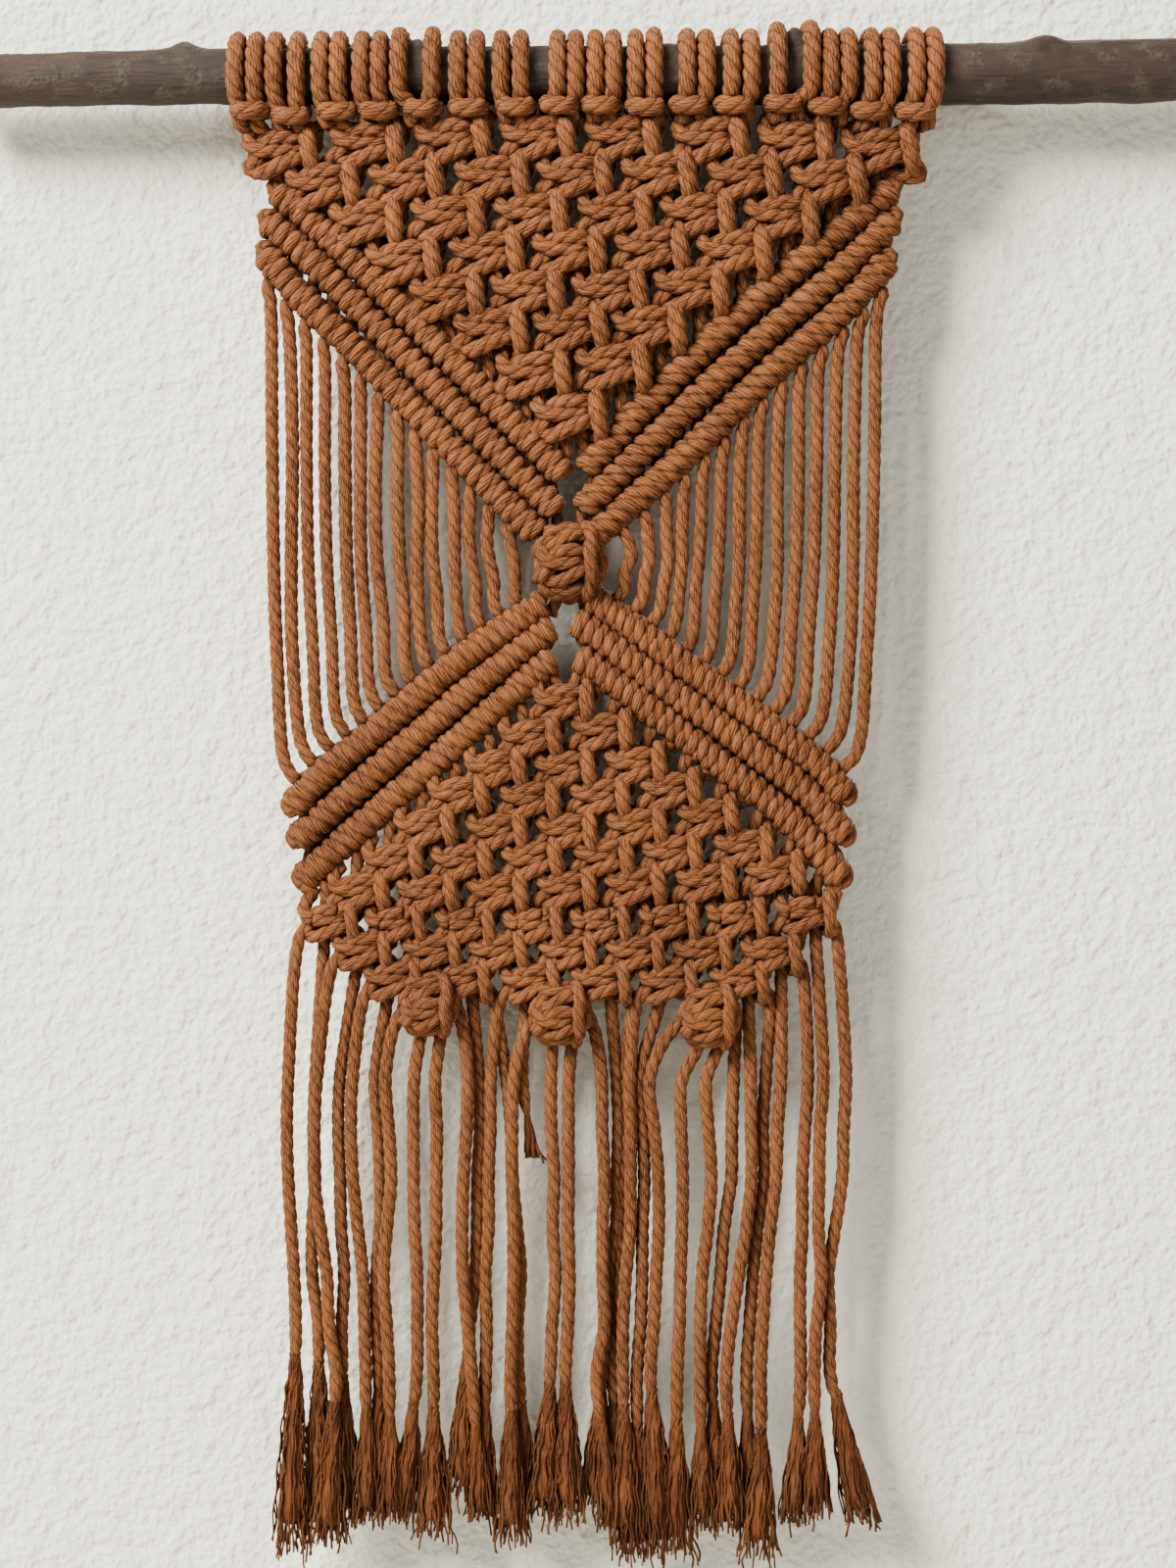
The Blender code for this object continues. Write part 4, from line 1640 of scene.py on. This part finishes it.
@dataclass
class Floats:
    """Fourteen free strands at each side, from the upper to the lower bars."""

    bars: Bars
    lay: CordLay
    seed: int = 71
    wave: float = 0.7
    thinnest: float = 0.97
    thickest: float = 1.05

    def _float(
        self, top: HitchBar, bottom: HitchBar, index: int, middle: float, wave: float
    ) -> list[Point]:
        """Draws one float.

        Args:
            top: The bar that it leaves.
            bottom: The bar that it enters.
            index: Its place from the outer end.
            middle: Its x halfway down.
            wave: How far it wanders.

        Returns:
            Its course.
        """
        start, stop = top.share_of(index + 0.5), bottom.share_of(index + 0.5)
        leave = top.spot(start, 0.0, 6.0, 0.2)
        enter = bottom.spot(stop, 0.0, -6.4, 0.2)
        inner = index / (HITCHES - 1)
        drop = leave[2] - enter[2]
        pull = 0.5 * min(10.0, 0.2 * drop)
        hook = (leave[0] + (middle - leave[0]) * 0.45, NET_Y, leave[2] - pull)
        foot = (enter[0] + (middle - enter[0]) * 0.45, NET_Y, enter[2] + pull)
        level = FLOAT_MIDDLE_Z
        # A short float near the X's middle bends halfway between its own ends.
        if not enter[2] + 2.0 * pull < level < leave[2] - 2.0 * pull:
            level = 0.5 * (leave[2] + enter[2])
        above = 0.5 * (level + hook[2])
        below = 0.5 * (level + foot[2])
        lean = 0.25 + 0.5 * inner
        return [
            top.spot(start, 0.0, 0.6, 3.4),
            top.spot(start, 0.0, 3.2, 2.6),
            leave,
            hook,
            (hook[0] + (middle - hook[0]) * (1.0 - lean) + wave, NET_Y, above),
            (middle, NET_Y, level),
            (foot[0] + (middle - foot[0]) * (1.0 - lean) - wave, NET_Y, below),
            foot,
            enter,
            bottom.spot(stop, 0.0, -3.4, 2.6),
            bottom.spot(stop, 0.0, -0.6, 3.6),
        ]

    def build(self, finish: bpy.types.Material) -> None:
        """Builds the floats of both sides.

        Args:
            finish: The cotton.
        """
        dice = random.Random(self.seed)
        runs = []
        for hand, middles in FLOAT_X.items():
            top = self.bars.upper[hand][-1]
            bottom = self.bars.lower[hand][0]
            for index, middle in enumerate(middles):
                wave = dice.uniform(-self.wave, self.wave)
                course = self._float(top, bottom, index, middle, wave)
                width = dice.uniform(self.thinnest, self.thickest)
                runs.append(Run(course, width, dice.random()))
        self.lay.lay_up("floats", runs, finish)


@dataclass
class BerryKnot:
    """A sinnet of square knots rolled up into a ball."""

    x: float
    z: float
    radius: float
    half_width: float
    first: float
    y: float = NET_Y
    knots: int = 5
    roll_share: float = 0.42
    depth_share: float = 0.36
    knot_share: float = 0.41
    flanks: tuple[Point, ...] = (
        (-60.0, 44.0, 3.0),
        (-62.0, -2.0, -44.0),
        (66.0, 52.0, -56.0),
    )

    def courses(self) -> list[list[Point]]:
        """Returns the courses of the ball's cords."""
        across = self.half_width / 2.55
        roll = self.radius * self.roll_share
        deep = self.radius * self.depth_share
        surface = roll + deep
        high = self.radius * self.knot_share
        # The divisors are the plain square knot's own sizes.
        knot = SquareKnot(across / 5.15, deep / 4.6, high / 4.9)
        found: list[list[Point]] = [[], [], [], []]
        pitch = 1.02 * self.radius * self.knot_share * 2.25 / surface
        for index in range(self.knots):
            middle = self.first - pitch * index
            for cord, course in enumerate(knot.courses()):
                for px, py, pz in course:
                    angle = middle + pz / surface
                    out = roll - min(max(py, -1.2 * deep), 0.5 * deep)
                    narrow = 0.80 + 0.20 * max(0.0, math.cos(angle))
                    found[cord].append(
                        (
                            self.x + px * narrow,
                            self.y - out * math.cos(angle),
                            self.z + out * math.sin(angle),
                        )
                    )
        return found + [self._flank(*flank) for flank in self.flanks]

    def _flank(self, turn: float, top: float, bottom: float) -> list[Point]:
        """Draws a cord that shows at the ball's side.

        Args:
            turn: How far round it is, in degrees from the front to the right.
            top: Where it comes out, in degrees above the ball's middle.
            bottom: Where it goes in again.

        Returns:
            Its course.
        """
        out = self.radius - 2.3
        course: list[Point] = []
        for up, reach in (
            (top + 24.0, 0.55 * out),
            (top + 4.0, 0.95 * out),
            (0.5 * (top + bottom), out),
            (bottom - 4.0, 0.95 * out),
            (bottom - 24.0, 0.55 * out),
        ):
            level = reach * math.cos(math.radians(up))
            course.append(
                (
                    self.x + level * math.sin(math.radians(turn)),
                    self.y - level * math.cos(math.radians(turn)),
                    self.z + reach * math.sin(math.radians(up)),
                )
            )
        return course


@dataclass
class UpperNet:
    """The triangle of square knots between the branch and the upper bars."""

    heads: LarksHeads
    bars: Bars
    lay: CordLay
    width: float = 1.15
    swell: float = 0.2
    turn_hop: float = 0.29
    rows: KnotRows = field(
        default_factory=lambda: KnotRows(SquareKnot(1.24, 1.05, 1.22), 5)
    )

    def _enter(self, strand: int) -> list[Point]:
        """Leads a strand into the first bar.

        Args:
            strand: The strand's number.

        Returns:
            The last points of its course.
        """
        hand, place = side_of(strand)
        bar = self.bars.upper[hand][0]
        if place:
            share = bar.share_of(place - 1)
            return [bar.spot(share, 0.0, -4.8, 1.6), bar.spot(share, 0.0, 0.0, 4.0)]
        return [
            bar.spot(0.0, -1.5, -5.0, 0.5),
            bar.spot(0.0, -1.6, -2.0, 0.6),
            bar.spot(0.0, 1.6, 0.0, 0.0),
        ]

    def build(self, finish: bpy.types.Material) -> None:
        """Builds the strands from the heads to the first bars.

        Args:
            finish: The cotton.
        """
        for strand in range(STRANDS):
            x, y, z = self.heads.leg_top(strand)
            self.rows.courses[strand] = [(x, y + 0.6, z + 1.5), (x, y, z - 2.5)]
        self.rows.tie(UPPER_ROWS)
        runs = []
        for strand in range(STRANDS):
            course = self.rows.courses[strand] + self._enter(strand)
            runs.append(
                Run(course, self.width, self.turn_hop * strand, swell=self.swell)
            )
        for name, part in halves("upper_net", runs):
            self.lay.lay_up(name, part, finish)


@dataclass
class LowerNet:
    """The triangle of square knots below the X, down to the fringe."""

    bars: Bars
    lay: CordLay
    width: float = 1.05
    swell: float = 0.16
    turn_hop: float = 0.31
    overlap: int = 4
    rows: KnotRows = field(default_factory=lambda: KnotRows(SquareKnot(), 9))
    lead: dict[int, int] = field(default_factory=dict)

    def _leave(self, strand: int) -> list[Point]:
        """Leads a strand out of the last bar.

        Args:
            strand: The strand's number.

        Returns:
            The first points of its course.
        """
        hand, place = side_of(strand)
        bar = self.bars.lower[hand][-1]
        if place:
            share = bar.share_of(place - 1)
            return [
                bar.spot(share, 0.0, -0.5, 3.8),
                bar.spot(share, 0.0, 3.4, 2.4),
                bar.spot(share, 0.0, 6.0, 0.2),
            ]
        return [
            bar.spot(0.0, 1.5, 0.0, 0.5),
            bar.spot(0.0, -1.8, 1.6, 0.4),
            bar.spot(0.0, -1.0, 5.0, 0.0),
        ]

    def tie(self) -> None:
        """Draws the strands from the bars through all the rows."""
        for strand in range(STRANDS):
            self.rows.courses[strand] = self._leave(strand)
        self.rows.tie(LOWER_ROWS[:FRINGE_FROM_ROW])
        for strand, course in self.rows.courses.items():
            self.lead[strand] = len(course)
        self.rows.tie(LOWER_ROWS[FRINGE_FROM_ROW:])

    def build(self, finish: bpy.types.Material) -> None:
        """Builds the strands down to the row where the fringe starts.

        Args:
            finish: The cotton.
        """
        runs = []
        for strand in range(STRANDS):
            count = self.lead[strand] + self.overlap
            course = self.rows.courses[strand][:count]
            runs.append(
                Run(course, self.width, self.turn_hop * strand, swell=self.swell)
            )
        for name, part in halves("lower_net", runs):
            self.lay.lay_up(name, part, finish)


@dataclass
class Berries:
    """The berry in the middle of the X, with the strands that feed it."""

    lay: CordLay
    berry: BerryKnot = field(
        default_factory=lambda: BerryKnot(-6.0, -166.0, 14.2, 13.0, 2.3)
    )
    feed_x: float = -6.3
    spreads: tuple[float, ...] = (3.5, 8.5)
    feed_width: float = 0.95

    def _feed(self, side: float, spread: float) -> Run:
        """Draws a strand that passes behind the berry.

        Args:
            side: -1 for the left side, 1 for the right side.
            spread: How far from the middle it is.

        Returns:
            Its course.
        """
        points = [
            (self.feed_x + side * (spread + 1.0), NET_Y + 3.0, -148.0),
            (self.feed_x + side * spread, NET_Y + 2.5, -158.0),
            (self.feed_x + side * spread, NET_Y + 2.5, -174.0),
            (self.feed_x + side * (spread + 3.0), NET_Y + 3.0, -184.0),
        ]
        return Run(points, self.feed_width)

    def build(self, finish: bpy.types.Material) -> None:
        """Builds the middle berry.

        Args:
            finish: The cotton.
        """
        runs = [Run(course) for course in self.berry.courses()]
        for side in (-1.0, 1.0):
            runs += [self._feed(side, spread) for spread in self.spreads]
        self.lay.lay_up("middle_berry", runs, finish)


@dataclass
class Fringe:
    """The last knot rows, three berries and the thirty-two free ends."""

    net: LowerNet
    lay: CordLay
    berries: tuple[BerryKnot, ...] = (
        BerryKnot(-53.4, -315.5, 11.4, 10.4, 2.1, NET_Y - 2.5),
        BerryKnot(-8.8, -318.5, 11.6, 10.8, 2.1, NET_Y - 2.5),
        BerryKnot(41.6, -319.3, 11.6, 10.8, 2.1, NET_Y - 2.5),
    )
    berry_strands: tuple[int, ...] = (6, 14, 22)
    width: float = 0.98
    berry_width: float = 0.93
    taper: float = 7.0
    yarns: int = 38
    heart_share: float = 0.84
    stray_share: float = 0.12
    seed: int = 88
    opening_at: tuple[float, ...] = (0.0, 0.1, 0.35, 0.7, 1.0)
    opening: tuple[float, ...] = (1.8, 2.3, 3.9, 5.5, 6.4)

    def _by_berry(self, strand: int, y: float, x: float) -> list[Point]:
        """Leads a strand into a berry and out again, or past its side.

        Args:
            strand: The strand's number.
            y: Its depth further down.
            x: Its x further down.

        Returns:
            The points of its course, none where there is no berry.
        """
        for first, berry in zip(self.berry_strands, self.berries):
            if not first <= strand < first + 4:
                continue
            offset = strand - first - 1.5
            top = berry.x + offset * 4.2
            if abs(offset) < 1.0:
                foot = berry.x + offset * 6.6
                return [
                    (top, NET_Y + 1.0, berry.z + 5.0),
                    (foot, NET_Y + 1.0, berry.z - 9.0),
                ]
            flank = berry.x + offset * 6.0
            return [
                (top, NET_Y + 3.5, berry.z + 6.0),
                (flank, y + 1.5, berry.z - 1.0),
                (0.4 * flank + 0.6 * x, y, berry.z - 9.0),
            ]
        return []

    def _free(self, strand: int, dice: random.Random) -> list[Point]:
        """Draws a strand from its last knot to where it is unlaid.

        Args:
            strand: The strand's number.
            dice: What small differences come from.

        Returns:
            The course.
        """
        end = FREE_ENDS[strand]
        y = NET_Y + end.y
        xs = (end.x_1, end.x_2, end.x_3, end.x_4)
        course = self._by_berry(strand, y, xs[0])
        for level, x in zip(FREE_LEVELS, xs):
            if level < end.unlay_z + 6.0:
                break
            course.append((x + dice.uniform(-0.3, 0.3), y, level))
            if level - 17.0 > end.unlay_z + 4.0:
                after = xs[min(3, xs.index(x) + 1)]
                drift = dice.uniform(-0.6, 0.6)
                course.append((0.5 * (x + after) + drift, y, level - 16.7))
        foot = course[-1]
        share = (foot[2] - end.unlay_z) / max(1.0, foot[2] - end.end_z)
        course.append((foot[0] + (end.end_x - foot[0]) * share, y, end.unlay_z))
        return course

    def build(self, cotton: bpy.types.Material, yarn: bpy.types.Material) -> None:
        """Builds the strands, the berries and the tufts.

        Args:
            cotton: The laid cotton.
            yarn: The loose yarn.
        """
        dice = random.Random(self.seed)
        runs = []
        tufts: list[tuple[Point, FreeEnd]] = []
        for strand in range(STRANDS):
            whole = self.net.rows.courses[strand]
            begin = min(self.net.lead[strand] + self.net.overlap - 1, len(whole) - 1)
            course = whole[begin:] + self._free(strand, dice)
            runs.append(Run(course, self.width, dice.random(), taper=self.taper))
            tufts.append((course[-1], FREE_ENDS[strand]))
        for name, part in halves("fringe", runs):
            self.lay.lay_up(name, part, cotton, Part.FRINGE)
        balls = [
            Run(course, self.berry_width)
            for berry in self.berries
            for course in berry.courses()
        ]
        self.lay.lay_up("fringe_berries", balls, cotton, Part.FRINGE)
        self._tufts(tufts, yarn)

    def _tufts(
        self, tufts: list[tuple[Point, FreeEnd]], finish: bpy.types.Material
    ) -> None:
        """Builds the loose yarns at the strands' ends.

        Args:
            tufts: Where each strand is unlaid, and its row of sizes.
            finish: The loose yarn.
        """
        dice = random.Random(self.seed + 1)
        bare = replace(self.lay, step=3.0)
        thread = replace(bare, width=0.85, lay=900.0, plies=1, points=3, groove=1.0)
        brush = replace(bare, width=1.0, lay=110.0, plies=8, points=2, groove=0.84)
        for name, part in halves("tufts", tufts):
            hearts = [self._heart(top, end) for top, end in part]
            yarns = [
                self._yarn(top, end, index, dice)
                for top, end in part
                for index in range(self.yarns)
            ]
            brush.lay_up(f"{name}_hearts", hearts, finish, Part.FRINGE)
            thread.lay_up(f"{name}_yarns", yarns, finish, Part.FRINGE)

    def _size(self, top: Point, end: FreeEnd) -> float:
        """Returns how wide a tuft opens, 1 for a long one."""
        return min(1.0, (top[2] - end.end_z) / 40.0)

    def _opening(self, share: float) -> float:
        """Returns a tuft's radius at a share of its length."""
        return float(np.interp(share, self.opening_at, self.opening))

    def _heart(self, top: Point, end: FreeEnd) -> Run:
        """Draws the dense middle of a tuft, where no wall shows between yarns.

        Args:
            top: Where the strand is unlaid.
            end: The strand's row of sizes.

        Returns:
            Its course, with the radius that it has along it.
        """
        low = self.heart_share
        foot = top[0] + (end.end_x - top[0]) * low
        drop = (top[2] - end.end_z) * low
        points = [
            (top[0], top[1], top[2] + 5.0),
            (0.5 * (top[0] + foot), top[1], top[2] - 0.5 * drop),
            (foot, top[1], top[2] - drop),
        ]
        size = self._size(top, end)
        shape = [1.5 * self._opening(low * step / 9.0) * size for step in range(10)]
        return Run(points, shape=(*shape, 0.7 * shape[-1]), start_turn=top[0])

    def _yarn(self, top: Point, end: FreeEnd, index: int, dice: random.Random) -> Run:
        """Draws one wavy yarn of a tuft.

        Args:
            top: Where the strand is unlaid.
            end: The strand's row of sizes.
            index: The yarn's number.
            dice: What the waves come from.

        Returns:
            The yarn's course and width.
        """
        angle = TAU * GOLDEN * index
        size = self._size(top, end)
        outer = dice.uniform(0.86, 1.12) if index % 3 else dice.uniform(0.3, 0.8)
        length = top[2] - end.end_z
        stray = dice.uniform(2.0, 5.0) if dice.random() < self.stray_share else 0.0
        cut = end.end_z + dice.uniform(-1.5, 5.0) * size - stray * size
        phase, second = dice.uniform(0.0, TAU), dice.uniform(0.0, TAU)
        swing = dice.uniform(0.25, 0.7) * size
        period = dice.uniform(9.0, 17.0)
        start = top[2] + 4.0
        count = max(6, int((start - cut) / 2.8))
        points: list[Point] = []
        for step in range(count + 1):
            z = start + (cut - start) * step / count
            run = start - z
            share = min(1.0, max(0.0, (top[2] - z) / length))
            twist = angle + 2.4 * math.exp(-run / 7.0)
            # Near the cord, no yarn stands out past the others.
            spread = outer if run > 9.0 else min(outer, 1.0)
            reach = self._opening(share) * size * spread
            centre = top[0] + (end.end_x - top[0]) * share
            wave = swing * min(1.0, run / 12.0)
            bend = stray * max(0.0, share - 0.85) * 4.0
            x = centre + (reach + bend) * math.cos(twist)
            x += wave * math.sin(TAU * run / period + phase)
            y = top[1] + 0.85 * reach * math.sin(twist)
            y += 0.7 * wave * math.sin(TAU * run / (period * 0.8) + second)
            points.append((x, y, z))
        return Run(points, width=dice.uniform(0.75, 1.1))


# --------------------------------------------------------------------------
# The studio
# --------------------------------------------------------------------------


@dataclass
class Studio:
    """Pale wall and floor, soft lights and the camera.

    Sizes are in metres, apart from the camera's sensor.
    """

    distance: float = 1.0
    middle_z: float = -0.241
    view_height: float = 0.5333
    sensor: float = 36.0
    wall_y: float = 0.019
    floor_y: float = -2.9
    floor_z: float = -1.2
    half_stage: float = 3.0
    lamp_tint: Point = (1.0, 0.97, 0.93)
    sky_tint: Linear = (0.93, 0.95, 1.0, 1.0)
    sky_power: float = 0.3

    def _plane(
        self, name: str, place: Matrix, finish: bpy.types.Material
    ) -> bpy.types.Object:
        """Makes a flat stage piece.

        Args:
            name: Its name.
            place: Its place, which goes in its mesh.
            finish: Its material.

        Returns:
            The piece.
        """
        work = bmesh.new()
        bmesh.ops.create_grid(
            work, x_segments=1, y_segments=1, size=self.half_stage, matrix=place
        )
        mesh = bpy.data.meshes.new(name)
        work.to_mesh(mesh)
        work.free()
        plane = bpy.data.objects.new(name, mesh)
        bpy.context.scene.collection.objects.link(plane)
        plane.data.materials.append(finish)
        return plane

    def _light(
        self, name: str, place: Point, size: float, power: float
    ) -> bpy.types.Object:
        """Adds a soft square light that faces the hanging.

        Args:
            name: Its name.
            place: Where it stands, in metres.
            size: Its side, in metres.
            power: Its power in watts.

        Returns:
            The light's object.
        """
        lamp = bpy.data.lights.new(name, "AREA")
        lamp.shape = "SQUARE"
        lamp.size = size
        lamp.energy = power
        lamp.color = self.lamp_tint
        holder = bpy.data.objects.new(name, lamp)
        bpy.context.scene.collection.objects.link(holder)
        aim = Vector((0.0, 0.0, self.middle_z)) - Vector(place)
        holder.location = place
        holder.rotation_euler = aim.to_track_quat("-Z", "Y").to_euler()
        return holder

    def _linked(self, piece: bpy.types.Object, meets: Meets) -> bpy.types.Collection:
        """Puts a stage piece in a collection that a light can be linked with.

        Args:
            piece: The stage piece.
            meets: Whether the light meets only this piece or all but this one.

        Returns:
            The collection.
        """
        state = meets.value
        linked = bpy.data.collections.new(f"{piece.name}_{state.lower()}")
        linked.objects.link(piece)
        linked.collection_objects[0].light_linking.link_state = state
        return linked

    def _lights(self, wall: bpy.types.Object) -> None:
        """Adds the lights: the wall has one of its own, so no knot shades it.

        Args:
            wall: The wall behind the hanging.
        """
        key = self._light("key_light", (-0.9, -1.05, 0.65), 0.7, 102.0)
        key.light_linking.receiver_collection = self._linked(wall, Meets.ALL_BUT)
        side = self._light("wall_light", (-2.2, -1.75, 1.66), 1.4, 560.0)
        side.light_linking.receiver_collection = self._linked(wall, Meets.ONLY)
        self._light("fill_light", (1.1, -1.6, 0.1), 1.6, 10.0)
        rear = self._light("rear_light", (0.6, 1.8, 0.6), 1.4, 70.0)
        rear.data.cycles.max_bounces = 0
        rear.light_linking.blocker_collection = self._linked(wall, Meets.ALL_BUT)
        world = bpy.data.worlds.new("soft_room")
        world.use_nodes = True
        sky = world.node_tree.nodes["Background"]
        sky.inputs["Color"].default_value = self.sky_tint
        sky.inputs["Strength"].default_value = self.sky_power
        bpy.context.scene.world = world

    def _camera(self) -> None:
        """Puts the camera in front of the hanging's middle."""
        camera = bpy.data.cameras.new("camera")
        camera.sensor_width = self.sensor
        camera.lens = self.sensor * self.distance / self.view_height
        camera.clip_start = 0.05
        camera.clip_end = 20.0
        holder = bpy.data.objects.new("camera", camera)
        bpy.context.scene.collection.objects.link(holder)
        holder.location = (0.0, -self.distance, self.middle_z)
        holder.rotation_euler = (math.pi / 2, 0.0, 0.0)
        bpy.context.scene.camera = holder

    def build(self) -> None:
        """Builds the stage, the lights and the camera."""
        upright = Matrix.Rotation(math.pi / 2, 4, "X")
        behind = Matrix.Translation((0.0, self.wall_y, self.middle_z)) @ upright
        plaster = PlasterFinish("pale_plaster", tone=(233, 230, 214), relief=0.0015)
        wall = self._plane("pale_wall", behind, plaster.material())
        below = Matrix.Translation((0.0, self.floor_y, self.floor_z))
        boards = PlasterFinish("pale_boards", tone=(226, 223, 217), relief=0.0002)
        self._plane("pale_floor", below, boards.material())
        self._lights(wall)
        self._camera()


def main() -> None:
    """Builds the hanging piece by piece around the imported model."""
    logging.basicConfig(level=logging.INFO, format="%(name)s: %(message)s")
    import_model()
    Studio().build()
    shadow = (20, 6, 1)
    cotton = CottonFinish(
        "rust_cotton", light=(138, 86, 50), deep=(48, 23, 9), shadow=shadow
    ).material()
    loose = YarnFinish(
        "rust_yarn", light=(118, 70, 38), deep=(56, 28, 12), shadow=shadow
    ).material()
    bark = BarkFinish(
        "bark",
        bark=(49, 33, 21),
        dark=(15, 10, 6),
        worn=(58, 38, 25),
        lichen=(68, 66, 50),
    ).material()
    sawn = SawnFinish("sawn_end").material()
    branch = Branch()
    branch.build(bark, sawn)
    crowd = Crowd()
    lay = CordLay(crowd)
    heads = LarksHeads(branch, lay)
    heads.build(cotton)
    bars = Bars(lay)
    UpperNet(heads, bars, lay).build(cotton)
    bars.build(cotton)
    Floats(bars, lay).build(cotton)
    Berries(lay).build(cotton)
    lower = LowerNet(bars, lay)
    lower.tie()
    lower.build(cotton)
    Fringe(lower, lay).build(cotton, loose)
    crowd.shade()


if __name__ == "__main__":
    main()
